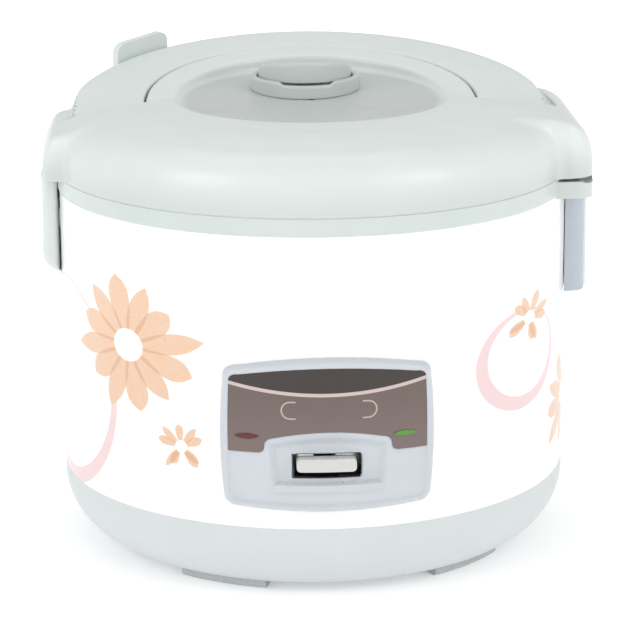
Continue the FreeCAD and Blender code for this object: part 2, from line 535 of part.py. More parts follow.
def make_lid_shell():
    t = WALL
    over_ring = disc(RIM_R + 0.5, 190, SEAM)
    outside = fuse([revolve(lid_profile(0.0, SEAM)), hinge_shoulder(0.0).cut(over_ring), latch_shoulder(0.0)])
    deck = tilted_half_space(HANDLE_TILT, PIVOT_Z + HANDLE_HALF + 0.4, PIVOT_Y)
    collar = disc(90.0, 216.0, 262.0).common(handle_axis_sphere(HANDLE_IN - 0.6)).common(deck)
    collar = collar.common(box(-100, 100, PIVOT_Y, 100, 200, 270))
    outside = outside.fuse(collar)
    below_floor = tilted_half_space(RECESS_SLOPE, RECESS_MID_Z)
    recess = disc(RECESS_R, 200, 280).cut(below_floor)

    low_floor = tilted_half_space(RECESS_SLOPE, RECESS_MID_Z - t)
    centre_hollow = disc(RECESS_R + t, 190, 260).common(low_floor)
    rim_hollow = revolve(lid_profile(t, 190.0)).cut(disc(RECESS_R + t, 180, 260))
    collar_hollow = disc(90.0, 216.0, 262.0).common(handle_axis_sphere(HANDLE_IN - 0.6 - t))
    deck_under = tilted_half_space(HANDLE_TILT, PIVOT_Z + HANDLE_HALF + 0.4 - t, PIVOT_Y)
    collar_hollow = collar_hollow.common(deck_under).common(box(-100, 100, PIVOT_Y + 9, 100, 200, 270))
    collar_hollow = collar_hollow.cut(disc(RECESS_R + t, 180, 280))
    shoulder_hollows = hinge_shoulder(2.1).fuse(latch_shoulder(1.8))
    shoulder_hollows.translate(V(0, 0, -0.1))
    shoulder_hollows = shoulder_hollows.cut(disc(RIM_R - 0.1, 180, 260))
    hollow = rim_hollow.fuse(collar_hollow).cut(handle_room(ROOM + t)).fuse(centre_hollow)
    pin_boss = [rod_x(PIVOT_Y, PIVOT_Z - 0.4, s * 70, s * 85, 5.6) for s in (-1, 1)]
    hollow = hollow.cut(group(pin_boss))

    shell = outside.cut(recess).cut(hollow).cut(shoulder_hollows).cut(handle_room(ROOM))
    under_hinge = box(121.0, 142.3, -33.4, 33.4, 190.0, 206.5)
    shell = shell.cut(under_hinge)
    lugs = []
    for s in (-1, 1):
        block = box(135.8, HINGE_OUT, s * 36.4 - 2.2, s * 36.4 + 2.2, HINGE_Z, 218)
        lugs.append(block.common(hinge_shoulder(1.0)))
        eye = rod_y(HINGE_X, HINGE_Z, s * 36.4 - 2.2, s * 36.4 + 2.2, 3.4)
        lugs.append(eye.common(hinge_shoulder(0.4)))
    catch = box(-133.0, -131.0, -8, 8, 198.4, 200.4)
    shell = shell.fuse(lugs + [catch])
    pin_holes = [rod_x(PIVOT_Y, PIVOT_Z, s * 73.5, s * 95, 2.55) for s in (-1, 1)]
    hinge_hole = rod_y(HINGE_X, HINGE_Z, -38.6, 38.6, 1.5)
    vent_hole = disc(20.0, 190, 260, VENT_X, VENT_Y)
    shell = shell.cut(group(pin_holes)).cut(hinge_hole).cut(vent_hole)
    add("lid_shell", shell.removeSplitter())


def make_lid_inside():
    skirt_r = RIM_R - WALL
    frame = revolve([(0, 201.0), (123.4, 201.0), (126.0, 198.4), (126.0, 197.0), (skirt_r, 197.0), (skirt_r, 206.0),
                     (skirt_r - 1.8, 206.0), (skirt_r - 1.8, 203.0), (0, 203.0)])
    post = disc(4.0, 194.0, 201.5)
    duct = tube(13.6, 12.0, 202.5, 226.0, VENT_X, VENT_Y)
    frame = fuse([frame, post, duct])
    frame = frame.cut(disc(12.0, 195, 203.5, VENT_X, VENT_Y)).cut(box(121.0, 142.3, -33.4, 33.4, 190.0, 208.0))
    frame = frame.cut(group(around(disc(1.4, 190, 210, 100.0), COVER_SCREW_ANGLES)))
    add("lid_inner_frame", frame)
    lid_screw = fuse([disc(3.0, 199.6, 201.0, 100.0), disc(1.4, 200.0, 208.0, 100.0)])
    add("lid_screws", group(around(lid_screw, COVER_SCREW_ANGLES)))

    inner = revolve([(4.6, 194.4), (104.0, 194.4), (106.6, 195.6, 108.4, 198.0), (110.0, 198.0), (110.0, 198.8),
                     (107.8, 198.8), (106.0, 196.4, 103.6, 195.4), (4.6, 195.4)])
    inner = inner.cut(group(around(disc(2.2, 190, 200, 0, 60), range(0, 360, 45))))
    add("inner_lid_plate", inner)
    add("inner_lid_grommet", revolve([(4.0, 190.5), (9.5, 190.5), (10.5, 192.4), (10.5, 194.4), (4.6, 194.4),
                                      (4.6, 195.4), (8.5, 195.4), (8.5, 197.4), (4.0, 197.4)]))
    add("lid_gasket", revolve([(110.6, 197.6), (117.6, 197.6), (118.4, 198.6), (118.4, 201.0), (110.0, 201.0),
                               (110.0, 198.8), (110.6, 198.8)]))


def make_steam_vent():
    rim = tilted_half_space(0.0, COLLAR_TOP)
    floor = tilted_half_space(RECESS_SLOPE, RECESS_MID_Z)
    collar = disc(VENT_R, 220, 250, VENT_X, VENT_Y).common(rim)
    collar = collar.cut(floor)
    spigot = disc(20.0, 222.0, 236.0, VENT_X, VENT_Y)
    bowl = disc(25.4, 233.6, 260, VENT_X, VENT_Y)
    finger = disc(18.0, 234.6, 260, VENT_X, VENT_Y - 9.4)
    collar = fuse([collar, spigot]).cut(bowl).cut(finger).cut(disc(13.6, 210, 240, VENT_X, VENT_Y))
    add("steam_vent_collar", collar)
    add("steam_vent_seal", tube(15.6, 13.6, 219.0, 222.0, VENT_X, VENT_Y))

    slant = tilted_half_space(-CAP_SLANT, CAP_MID_Z, VENT_Y)
    cap = disc(CAP_R, 234.0, 262, VENT_X, VENT_Y).common(slant)
    under = tilted_half_space(-CAP_SLANT, CAP_MID_Z - 2.2, VENT_Y)
    cap = cap.cut(disc(CAP_R - 2.2, 230.0, 262, VENT_X, VENT_Y).common(under))
    stem = tube(11.4, 9.6, 216.0, 240.0, VENT_X, VENT_Y)
    stem = stem.common(tilted_half_space(-CAP_SLANT, CAP_MID_Z - 1.5, VENT_Y))
    floor_disc = tube(CAP_R - 2.0, 9.8, 234.0, 235.4, VENT_X, VENT_Y)
    holes = [disc(1.6, 230, 262, VENT_X + dx, VENT_Y + 14.5 - abs(dx) * 0.12) for dx in (-9, -3, 3, 9)]
    cap = fuse([cap, stem, floor_disc]).cut(group(holes))
    add("steam_vent_cap", cap)


# ---------------------------------------------------------------- carrying handle
def to_handle(shape):
    """Carries a shape drawn flat about the origin to the folded handle's place."""
    shape.rotate(ORIGIN, X_AXIS, HANDLE_TILT)
    shape.translate(V(0, PIVOT_Y, PIVOT_Z))
    return shape


def bow(section):
    """Half ring to the rear from an (r, z) section."""
    return revolve(section, 180.0)


def make_handle():
    top = [(HANDLE_IN, 4.9), (98.0, 5.3, 110.0, 4.6), (120.0, 2.9, 126.2, -1.6)]
    split = -2.6
    shell = bow([(HANDLE_IN, split)] + top + [(HANDLE_OUT, split)])
    end_top = [(HANDLE_IN, 0), (HANDLE_IN, 4.9), (98.0, 5.3, 110.0, 4.6), (116.0, 3.8), (118.0, 2.6), (118.0, 0)]
    knuckles = [face(end_top, lambda x, r: V(s * x, 0, r)).revolve(ORIGIN, X_AXIS, 360) for s in (-1, 1)]
    shell = fuse([shell] + knuckles)
    hollow = bow([(HANDLE_IN + 2.4, -12), (HANDLE_IN + 2.4, 2.6), (98.0, 3.3, 110.0, 2.2),
                  (118.0, 0.6, 123.2, split), (123.2, -12)])
    hollow = hollow.cut(box(-200, 200, -50, 9, -50, 50))      # the ends stay solid around the pins
    ribs = [turned(box(80, 130, -1, 1, -12, 6), a) for a in (35, 62, 90, 118, 145)]
    shell = shell.cut(hollow.cut(group(ribs)))

    cover = bow([(HANDLE_IN + 0.1, -HANDLE_HALF), (125.6, -HANDLE_HALF), (127.2, -4.4, HANDLE_OUT, split),
                 (HANDLE_IN + 0.1, split)])
    cover = cover.cut(box(-200, 200, -50, 7, -50, 50))
    under_ends = bow([(HANDLE_IN, -HANDLE_HALF), (118.0, -HANDLE_HALF), (118.0, split + 1),
                      (HANDLE_IN, split + 1)])
    shell = shell.fuse(under_ends.common(box(-200, 200, -6, 6.8, -10, 10)))

    half, tab_angle = 19.0, 135.0
    tab = prism_x([(-half, -4.0), (half, -4.0), (half, 4.4), (half - 1.8, 8.6, half - 6, 10.2),
                   (-half + 6, 10.2), (-half + 1.8, 8.6, -half, 4.4)], 124.4, 128.4)
    tab.rotate(ORIGIN, Z_AXIS, tab_angle)
    shell = shell.cut(tab)
    cover = cover.cut(tab)
    bores = [rod_x(0, 0, s * 80, s * 101, 2.5) for s in (-1, 1)]
    shell = shell.cut(group(bores))
    pins = group([rod_x(0, 0, s * 75, s * 101, 2.5) for s in (-1, 1)])
    screw_angles = (20, 55, 75, 105, 125, 160)
    screws = [turned(rod((105.0, 0, -HANDLE_HALF), (105.0, 0, split), 2.0), a) for a in screw_angles]
    cover = cover.cut(group(screws))
    trim = handle_axis_sphere(HANDLE_IN - 0.1)
    add("carrying_handle", to_handle(shell).cut(trim))
    add("handle_underside", to_handle(cover).cut(trim))
    add("handle_lift_tab", to_handle(tab))
    add("handle_pins", to_handle(pins))
    add("handle_screws", to_handle(group(screws)))


# ---------------------------------------------------------------- inner pot
def make_pot():
    t = POT_T
    pot = revolve([
        (0, POT_BOTTOM), (POT_R - 24, POT_BOTTOM), (POT_R - 7.0, POT_BOTTOM + 7.0, POT_R, POT_BOTTOM + 24),
        (POT_R, POT_RIM - 3.6), (POT_R + 0.9, POT_RIM - 1.6, POT_R + 2.6, POT_RIM - 1.0), (119.2, POT_RIM - 1.0),
        (119.2, POT_RIM), (POT_R + 1.4, POT_RIM), (POT_R - 0.9, POT_RIM - 1.2, POT_R - t, POT_RIM - 3.6),
        (POT_R - t, POT_BOTTOM + 24), (POT_R - 8.2, POT_BOTTOM + 8.2, POT_R - 24, POT_BOTTOM + t),
        (0, POT_BOTTOM + t)])
    add("inner_pot", pot)


def main():
    make_base()
    make_jacket()
    make_top_ring()
    make_liner()
    make_heating()
    make_switchgear()
    make_inlet()
    make_wiring()
    make_panel()
    make_latch()
    make_hinge()
    make_dew_collector()
    make_lid_shell()
    make_lid_inside()
    make_steam_vent()
    make_handle()
    make_pot()

    os.makedirs("parts", exist_ok=True)
    for name, shape in parts.items():
        solids = shape.Solids
        state = "ok" if shape.isValid() and solids else "BAD"
        size = shape.optimalBoundingBox(True, False)
        print(f"{name:24s} {state} solids {len(solids)} volume {shape.Volume:10.0f} "
              f"x {size.XMin:.1f} {size.XMax:.1f} y {size.YMin:.1f} {size.YMax:.1f} "
              f"z {size.ZMin:.1f} {size.ZMax:.1f}")
        shape.exportStep(f"parts/{name}.step")


main()
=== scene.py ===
"""Looks of a jar-type electric rice cooker: detailed outer pieces, materials, camera and soft studio light.

Metres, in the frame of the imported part: origin on the body's axis at floor level, +Z up, -Y the front."""

import bpy
import bmesh
import json
import math
import numpy
from mathutils import Matrix, Vector


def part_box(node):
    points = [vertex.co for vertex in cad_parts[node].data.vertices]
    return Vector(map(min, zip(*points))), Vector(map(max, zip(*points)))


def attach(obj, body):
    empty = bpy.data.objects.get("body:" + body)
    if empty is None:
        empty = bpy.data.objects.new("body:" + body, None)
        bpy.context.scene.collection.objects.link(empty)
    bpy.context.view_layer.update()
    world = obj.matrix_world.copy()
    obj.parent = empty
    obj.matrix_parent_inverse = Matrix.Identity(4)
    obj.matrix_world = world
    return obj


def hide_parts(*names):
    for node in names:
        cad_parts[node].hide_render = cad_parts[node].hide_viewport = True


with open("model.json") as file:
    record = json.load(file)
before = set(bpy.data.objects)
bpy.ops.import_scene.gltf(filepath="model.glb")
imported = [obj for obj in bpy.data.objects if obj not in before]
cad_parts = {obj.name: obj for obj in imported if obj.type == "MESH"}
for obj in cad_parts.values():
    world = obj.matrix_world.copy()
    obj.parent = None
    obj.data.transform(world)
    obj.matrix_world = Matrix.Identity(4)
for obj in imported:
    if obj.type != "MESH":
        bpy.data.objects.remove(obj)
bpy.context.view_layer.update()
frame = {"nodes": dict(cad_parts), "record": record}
NODES = frame["nodes"]

MM = 0.001
BODY_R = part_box("base_shell")[1].x              # outside of the base and the jacket
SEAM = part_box("lid_shell")[0].z                 # where the lid meets the top ring

scene = bpy.context.scene


# ---------------------------------------------------------------- camera, floor and light
CAMERA_PLACE = Vector((-0.0655, -1.3894, 0.4840))
CAMERA_TURN = math.radians(2.86)                # looks this far from +Y towards +X
CAMERA_PITCH = math.radians(15.02)              # and this far down
CAMERA_ROLL = math.radians(-0.34)
CAMERA_LENS = 152.7
HORIZON_LIGHT, OVERHEAD_LIGHT = 0.70, 0.72
FLOOR_GLOW_NEAR, FLOOR_GLOW_FAR = 0.24, 0.62    # the floor fades to white away from the cooker


def make_camera():
    camera = bpy.data.objects.new("camera", bpy.data.cameras.new("camera"))
    scene.collection.objects.link(camera)
    camera.data.lens = CAMERA_LENS
    level = math.cos(CAMERA_PITCH)
    ahead = Vector((math.sin(CAMERA_TURN) * level, math.cos(CAMERA_TURN) * level, -math.sin(CAMERA_PITCH)))
    right = Vector((math.cos(CAMERA_TURN), -math.sin(CAMERA_TURN), 0.0))
    roll = Matrix.Rotation(-CAMERA_ROLL, 3, ahead)
    right = roll @ right
    up = right.cross(ahead)
    axes = Matrix((right, up, -ahead)).transposed()
    camera.matrix_world = Matrix.Translation(CAMERA_PLACE) @ axes.to_4x4()
    scene.camera = camera


def add_light(name, place, target, size, power, colour=(1.0, 1.0, 1.0)):
    light = bpy.data.lights.new(name, "AREA")
    light.shape = "RECTANGLE"
    light.size, light.size_y = size
    light.energy = power
    light.color = colour
    holder = bpy.data.objects.new(name, light)
    scene.collection.objects.link(holder)
    holder.location = place
    holder.rotation_mode = "QUATERNION"
    holder.rotation_quaternion = (Vector(target) - Vector(place)).to_track_quat("-Z", "Y")


def make_studio():
    world = bpy.data.worlds.new("studio")
    world.use_nodes = True
    nodes, links = world.node_tree.nodes, world.node_tree.links
    background = nodes["Background"]
    background.inputs["Color"].default_value = (1.0, 1.0, 1.0, 1.0)
    direction = nodes.new("ShaderNodeSeparateXYZ")
    links.new(nodes.new("ShaderNodeTexCoord").outputs["Generated"], direction.inputs[0])
    fade = nodes.new("ShaderNodeMapRange")
    fade.inputs["From Max"].default_value = 0.8
    fade.inputs["To Min"].default_value = HORIZON_LIGHT
    fade.inputs["To Max"].default_value = OVERHEAD_LIGHT
    links.new(direction.outputs["Z"], fade.inputs["Value"])
    links.new(fade.outputs["Result"], background.inputs["Strength"])
    scene.world = world
    scene.view_settings.view_transform = "Standard"
    middle = (0.0, 0.0, 0.14)
    add_light("right_softbox", (1.5, -1.4, 1.15), middle, (0.9, 1.1), 10.5, (1.0, 0.995, 0.985))
    add_light("left_softbox", (-1.6, -1.2, 1.10), middle, (0.9, 1.1), 10.0, (0.985, 0.995, 1.0))
    add_light("top_softbox", (-0.1, 0.4, 1.7), middle, (1.4, 0.8), 3.0)

    bm = bmesh.new()
    bmesh.ops.create_grid(bm, x_segments=2, y_segments=2, size=9.0)
    floor = finish_mesh("floor", bm)
    floor.location.z = -0.0002
    paper = Graph("studio_paper")
    grain = paper.noise(60.0, detail=4)
    paper.colour(paper.shade((0.93, 0.93, 0.93), (0.955, 0.955, 0.955), grain))
    paper.set("Roughness", 0.85)
    paper.set("Emission Color", (1.0, 1.0, 1.0, 1.0))
    across, back, _ = paper.position()
    away = paper.math("SQRT", across * across + back * back)
    paper.set("Emission Strength", paper.ramp(away, 0.2, 1.1, FLOOR_GLOW_NEAR, FLOOR_GLOW_FAR))
    floor.data.materials.append(paper.material)


# ---------------------------------------------------------------- material formulas
class Value:
    """A number that a material works out at each point; + - * / join into its node tree."""

    def __init__(self, graph, socket):
        self.graph = graph
        self.socket = socket

    def __add__(self, other):
        return self.graph.math("ADD", self, other)

    def __sub__(self, other):
        return self.graph.math("SUBTRACT", self, other)

    def __rsub__(self, other):
        return self.graph.math("SUBTRACT", other, self)

    def __mul__(self, other):
        return self.graph.math("MULTIPLY", self, other)

    def __truediv__(self, other):
        return self.graph.math("DIVIDE", self, other)


class Graph:
    """One material's node tree, written as formulas."""

    def __init__(self, name):
        self.material = bpy.data.materials.new(name)
        self.material.use_nodes = True
        self.tree = self.material.node_tree
        self.shader = self.tree.nodes["Principled BSDF"]
        self.place = self.put("ShaderNodeTexCoord").outputs["Object"]

    def put(self, kind, **settings):
        node = self.tree.nodes.new(kind)
        for key, value in settings.items():
            setattr(node, key, value)
        return node

    def feed(self, socket, value):
        if isinstance(value, Value):
            self.tree.links.new(value.socket, socket)
        elif isinstance(value, bpy.types.NodeSocket):
            self.tree.links.new(value, socket)
        else:
            socket.default_value = value

    def math(self, operation, *numbers):
        node = self.put("ShaderNodeMath", operation=operation)
        for socket, number in zip(node.inputs, numbers):
            self.feed(socket, number)
        return Value(self, node.outputs[0])

    def position(self):
        """x, y and z in metres."""
        node = self.put("ShaderNodeSeparateXYZ")
        self.feed(node.inputs[0], self.place)
        return [Value(self, output) for output in node.outputs]

    def stretched(self, scale):
        node = self.put("ShaderNodeMapping")
        self.feed(node.inputs["Vector"], self.place)
        node.inputs["Scale"].default_value = scale
        return node.outputs["Vector"]

    def polar(self):
        """Place as (radius, angle * 0.1, height), for grain that runs round the axis."""
        x, y, z = self.position()
        node = self.put("ShaderNodeCombineXYZ")
        self.feed(node.inputs[0], self.math("SQRT", x * x + y * y))
        self.feed(node.inputs[1], self.math("ARCTAN2", x, y) * 0.1)
        self.feed(node.inputs[2], z)
        return node.outputs[0]

    def noise(self, scale, detail=3.0, stretch=None, place=None):
        node = self.put("ShaderNodeTexNoise")
        self.feed(node.inputs["Vector"], place or (self.stretched(stretch) if stretch else self.place))
        node.inputs["Scale"].default_value = scale
        node.inputs["Detail"].default_value = detail
        return Value(self, node.outputs[0])

    def cells(self, scale):
        node = self.put("ShaderNodeTexVoronoi", feature="F1")
        self.feed(node.inputs["Vector"], self.place)
        node.inputs["Scale"].default_value = scale
        return Value(self, node.outputs["Distance"])

    def ramp(self, value, low, high, to_low=0.0, to_high=1.0):
        node = self.put("ShaderNodeMapRange", interpolation_type="SMOOTHSTEP")
        self.feed(node.inputs["Value"], value)
        for name, number in (("From Min", low), ("From Max", high), ("To Min", to_low), ("To Max", to_high)):
            node.inputs[name].default_value = number
        return Value(self, node.outputs["Result"])

    def shade(self, first, second, amount):
        """Colour between first and second."""
        node = self.put("ShaderNodeMix", data_type="RGBA")
        self.feed(node.inputs["Factor"], amount)
        for socket, colour in ((node.inputs[6], first), (node.inputs[7], second)):
            self.feed(socket, (*colour, 1.0) if isinstance(colour, tuple) else colour)
        return node.outputs[2]

    def colour(self, socket):
        self.feed(self.shader.inputs["Base Color"], socket)

    def set(self, name, value):
        self.feed(self.shader.inputs[name], value)

    def bump(self, height, depth):
        """height from 0 to 1 stands depth metres proud."""
        node = self.put("ShaderNodeBump")
        node.inputs["Strength"].default_value = 1.0
        node.inputs["Distance"].default_value = depth
        self.feed(node.inputs["Height"], height)
        self.feed(self.shader.inputs["Normal"], node.outputs["Normal"])


def srgb(red, green, blue):
    """Linear colour from screen values of 0 to 255."""
    screen = (red, green, blue)
    return tuple(((c / 255 + 0.055) / 1.055) ** 2.4 if c > 10 else c / 255 / 12.92 for c in screen)


def darker(colour, factor):
    return tuple(c * factor for c in colour)


# ---------------------------------------------------------------- materials
def moulded_plastic(name, colour, rough=0.32, grain=0.00002):
    """Glossy moulding: faint mottling, uneven gloss and a fine ripple of the mould."""
    g = Graph(name)
    mottle = g.noise(35.0, detail=5)
    fleck = g.noise(1400.0, detail=2)
    tone = g.ramp(mottle * 0.7 + fleck * 0.3, 0.3, 0.7)
    g.colour(g.shade(darker(colour, 0.965), colour, tone))
    g.set("Roughness", g.ramp(g.noise(90.0, detail=4), 0.3, 0.7, rough - 0.04, rough + 0.05))
    g.bump(g.noise(900.0, detail=3) + g.noise(120.0) * 2.0, grain)
    g.set("IOR", 1.49)
    return g


def lid_plastic(colour):
    """Lid moulding, with painted shade: darker on the recess floor, on the vent, and on the lid's lower edge
    above the seam.
    """
    g = moulded_plastic("pale_lid_plastic", colour)
    x, y, z = g.position()
    floor = y * RECESS_SLOPE + RECESS_Z * MM
    in_recess = g.ramp(g.math("SQRT", x * x + y * y), (RECESS_R - 5.5) * MM, (RECESS_R + 0.5) * MM, 1.0, 0.0)
    low = g.ramp(z - floor, 0.0004, 0.0045, 1.0, 0.0)
    # painted shade: the recess floor is coloured darker, mottled faintly
    recess_shade = in_recess * low * g.ramp(g.noise(26.0, detail=3), 0.2, 0.8, 0.85, 1.0)
    plain = g.shader.inputs["Base Color"].links[0].from_socket
    # painted shade: the vent standing above the recess floor is coloured darker than the rest of the lid
    vent_x, vent_y = x - VENT_X * MM, y - VENT_Y * MM
    from_vent = g.math("SQRT", vent_x * vent_x + vent_y * vent_y)
    near_vent = g.ramp(from_vent, (VENT_R + 0.2) * MM, (VENT_R + 0.8) * MM, 1.0, 0.0)
    vent = near_vent * g.ramp(z - floor, 0.0010, 0.0020)
    # painted shade: the lid's lower edge, from the seam up to 217 mm, is coloured darker towards the seam
    edge = g.ramp(z, 0.1965, 0.2170, 1.0, 0.0) * g.ramp(z, 0.1956, 0.1962)
    with_floor = g.shade(plain, darker(colour, 0.71), recess_shade)
    with_vent = g.shade(with_floor, darker(colour, 0.77), vent)
    g.colour(g.shade(with_vent, darker(colour, 0.80), edge))
    return g


SLOT_Z = 0.07235               # middle of the switch's slot


def panel_plastic(colour):
    """Panel moulding, with painted shade: dark grey inside the switch's slot."""
    g = moulded_plastic("panel_plastic", colour, rough=0.34)
    x, y, z = g.position()
    beside = g.ramp(g.math("ABSOLUTE", x), 0.0164, 0.0172, 1.0, 0.0)
    level = g.ramp(g.math("ABSOLUTE", z - SLOT_Z), 0.0060, 0.0066, 1.0, 0.0)
    deep = g.ramp(y, -0.1334, -0.1322)
    plain = g.shader.inputs["Base Color"].links[0].from_socket
    # painted shade: the frame's surfaces deep inside the slot are coloured dark grey
    g.colour(g.shade(plain, srgb(40, 43, 46), beside * level * deep))
    return g


def switch_plastic():
    """White knob; the arm behind it, deep in the slot, is coloured dark grey as painted shade."""
    g = moulded_plastic("white_lever_plastic", srgb(206, 207, 204), rough=0.26)
    _, y, _ = g.position()
    # painted shade: behind the knob, deep in the slot, the lever's arm is coloured dark grey
    behind = g.ramp(y, -0.1318, -0.1312)
    plain = g.shader.inputs["Base Color"].links[0].from_socket
    g.colour(g.shade(plain, srgb(30, 33, 35), behind))
    return g


def spun_metal(name, colour, rough=0.28, grain=0.00003, lines=900.0):
    """Turned or spun metal with fine rings round the axis."""
    g = Graph(name)
    rings = g.noise(lines, detail=4, place=g.polar())
    cloud = g.noise(40.0, detail=4)
    g.colour(g.shade(darker(colour, 0.82), colour, g.ramp(rings * 0.6 + cloud * 0.4, 0.35, 0.65)))
    g.set("Metallic", 1.0)
    g.set("Roughness", g.ramp(cloud, 0.3, 0.7, rough - 0.05, rough + 0.1))
    g.bump(rings, grain)
    return g


def rolled_metal(name, colour, rough=0.3, grain=0.00002, along=(1.0, 12.0, 12.0)):
    """Sheet or bar with rolling lines and smudges."""
    g = Graph(name)
    lines = g.noise(160.0, detail=5, stretch=along)
    smudge = g.noise(70.0, detail=5)
    g.colour(g.shade(darker(colour, 0.78), colour, g.ramp(lines * 0.5 + smudge * 0.5, 0.35, 0.65)))
    g.set("Metallic", 1.0)
    g.set("Roughness", g.ramp(smudge, 0.3, 0.7, rough - 0.06, rough + 0.12))
    g.bump(lines, grain)
    return g


def speckled(name, colour, second, rough=0.7, scale=900.0, grain=0.00006):
    """Matt material with visible grains, such as rubber, ceramic or ferrite."""
    g = Graph(name)
    grains = g.cells(scale)
    cloud = g.noise(60.0, detail=4)
    g.colour(g.shade(colour, second, g.ramp(grains * 0.6 + cloud * 0.6, 0.3, 0.8)))
    g.set("Roughness", g.ramp(cloud, 0.3, 0.7, rough - 0.08, rough + 0.08))
    g.bump(grains + g.noise(1500.0), grain)
    return g


# ---------------------------------------------------------------- print on the jacket
# Flowers: angle round the body (degrees from the front), height, petal length, stretch, petals, turn
FLOWERS = (
    (-46.7, 124.2, 38.5, 1.25, 12, 0.20),
    (-32.3, 77.5, 14.5, 1.05, 9, 0.90),
    (52.9, 131.6, 15.0, 1.55, 9, 0.35),
    (79.0, 76.0, 29.0, 1.60, 10, 0.10),
    (133.0, 122.0, 36.0, 1.22, 12, 0.70),
    (150.5, 80.0, 14.0, 1.10, 9, 0.20),
    (-128.0, 128.0, 14.0, 1.30, 9, 0.55),
    (-104.0, 80.0, 24.0, 1.40, 10, 0.40),
)
# Rings: angle, height, outer radius, stretch, thickness, and the angle where the ring is thickest
RINGS = (
    (50.0, 111.4, 26.0, 1.35, 7.5, 235.0),
    (-74.7, 92.0, 55.0, 1.00, 9.0, 260.0),
    (-139.0, 110.0, 26.0, 1.20, 7.0, 232.0),
    (105.0, 92.0, 52.0, 1.00, 8.0, 300.0),
)
CENTRE_SHARE = 0.21            # open centre of a flower, as a share of its petal length
HOLE_SHARE, HOLE_SHIFT = 0.56, 0.42     # hole of a ring, from its thickness: how much smaller, how far aside


def petal_ring(g, du, dv, length, petals, turn, width, tip):
    """1 inside a ring of petals. A petal is narrow at the centre, and a large tip makes its end rounder."""
    step = 2 * math.pi / petals
    angle = g.math("ARCTAN2", dv, du) - turn
    number = g.math("ROUND", angle / step)
    local = angle - number * step
    reach = g.math("SQRT", du * du + dv * dv)
    own_length = (g.math("SINE", number * 2.4 + turn * 7.0) * 0.09 + 0.91) * length
    along = reach * g.math("COSINE", local) / own_length
    across = g.math("ABSOLUTE", reach * g.math("SINE", local))
    taper = 1.0 - g.math("POWER", g.math("MAXIMUM", along, 0.0), tip)
    half = g.math("POWER", g.math("MAXIMUM", along, 0.0), 0.8) * taper * (width * length)
    return g.ramp(half - across, -0.0002, 0.0003)


def flower(g, u, v, angle, height, length, stretch, petals, turn):
    """Two petal rings, one between the other, and the share where they overlap."""
    du = g.math("WRAP", u - math.radians(angle) * BODY_R, math.pi * BODY_R, -math.pi * BODY_R) / stretch
    dv = v - height * MM
    half = petals // 2
    long = petal_ring(g, du, dv, length * MM, half, turn, 0.27, 3.0)
    short = petal_ring(g, du, dv, length * 0.93 * MM, petals - half, turn + math.pi / half, 0.26, 6.0)
    reach = g.math("SQRT", du * du + dv * dv)
    open_centre = g.ramp(reach, length * CENTRE_SHARE * MM, (length * CENTRE_SHARE + 0.5) * MM)
    either = g.math("MAXIMUM", long, short) * open_centre
    both = g.math("MINIMUM", long, short) * open_centre
    return either, both


def crescent(g, u, v, angle, height, radius, stretch, thick, heavy_side):
    """Ring whose thickness swells towards heavy_side."""
    du = g.math("WRAP", u - math.radians(angle) * BODY_R, math.pi * BODY_R, -math.pi * BODY_R) / stretch
    dv = v - height * MM
    slip = HOLE_SHIFT * thick * MM
    side = math.radians(heavy_side)
    inner_du = du + math.cos(side) * slip
    inner_dv = dv + math.sin(side) * slip
    outer = g.math("SQRT", du * du + dv * dv)
    inner = g.math("SQRT", inner_du * inner_du + inner_dv * inner_dv)
    inside = g.ramp(outer, (radius - 0.3) * MM, (radius + 0.3) * MM, 1.0, 0.0)
    hole_r = radius - thick * HOLE_SHARE
    hole = g.ramp(inner, (hole_r - 0.3) * MM, (hole_r + 0.3) * MM)
    return inside * hole


def painted_jacket():
    """White enamel with a print of pale peach flowers and pink rings."""
    g = Graph("painted_enamel")
    x, y, z = g.position()
    u = g.math("ARCTAN2", x, y * -1.0) * BODY_R
    white, pink = srgb(253, 253, 252), srgb(232, 202, 203)
    peach, deep = srgb(227, 190, 160), srgb(214, 167, 131)
    rings = None
    for ring in RINGS:
        one = crescent(g, u, z, *ring)
        rings = one if rings is None else g.math("MAXIMUM", rings, one)
    petals = overlaps = None
    for item in FLOWERS:
        either, both = flower(g, u, z, *item)
        petals = either if petals is None else g.math("MAXIMUM", petals, either)
        overlaps = both if overlaps is None else g.math("MAXIMUM", overlaps, both)
    ink = g.noise(500.0, detail=4)
    ground = g.shade(darker(white, 0.975), white, g.ramp(g.noise(30.0, detail=4), 0.3, 0.7))
    with_rings = g.shade(ground, pink, rings * (ink * 0.2 + 0.85))
    with_petals = g.shade(with_rings, peach, petals * (ink * 0.2 + 0.87))
    g.colour(g.shade(with_petals, deep, overlaps * 0.8))
    g.set("Roughness", g.ramp(g.noise(60.0, detail=5), 0.3, 0.7, 0.17, 0.25) + petals * 0.05)
    g.bump(g.noise(260.0, detail=2) * 0.8 + petals * 0.2, 0.00002)
    g.set("Coat Weight", 0.35)
    g.set("Coat Roughness", 0.08)
    return g


# ---------------------------------------------------------------- print on the panel
STRIPE_Z, STRIPE_BOW = 0.1092, 2.4              # the stripe's height at the middle, and how fast it rises
BRACKETS_X, BRACKETS_Z = 0.0014, 0.1016         # middle of the long rounded frame that the brackets end
BRACKETS_HALF, BRACKETS_R = 0.0190, 0.0042      # half its straight length, and the radius of its ends


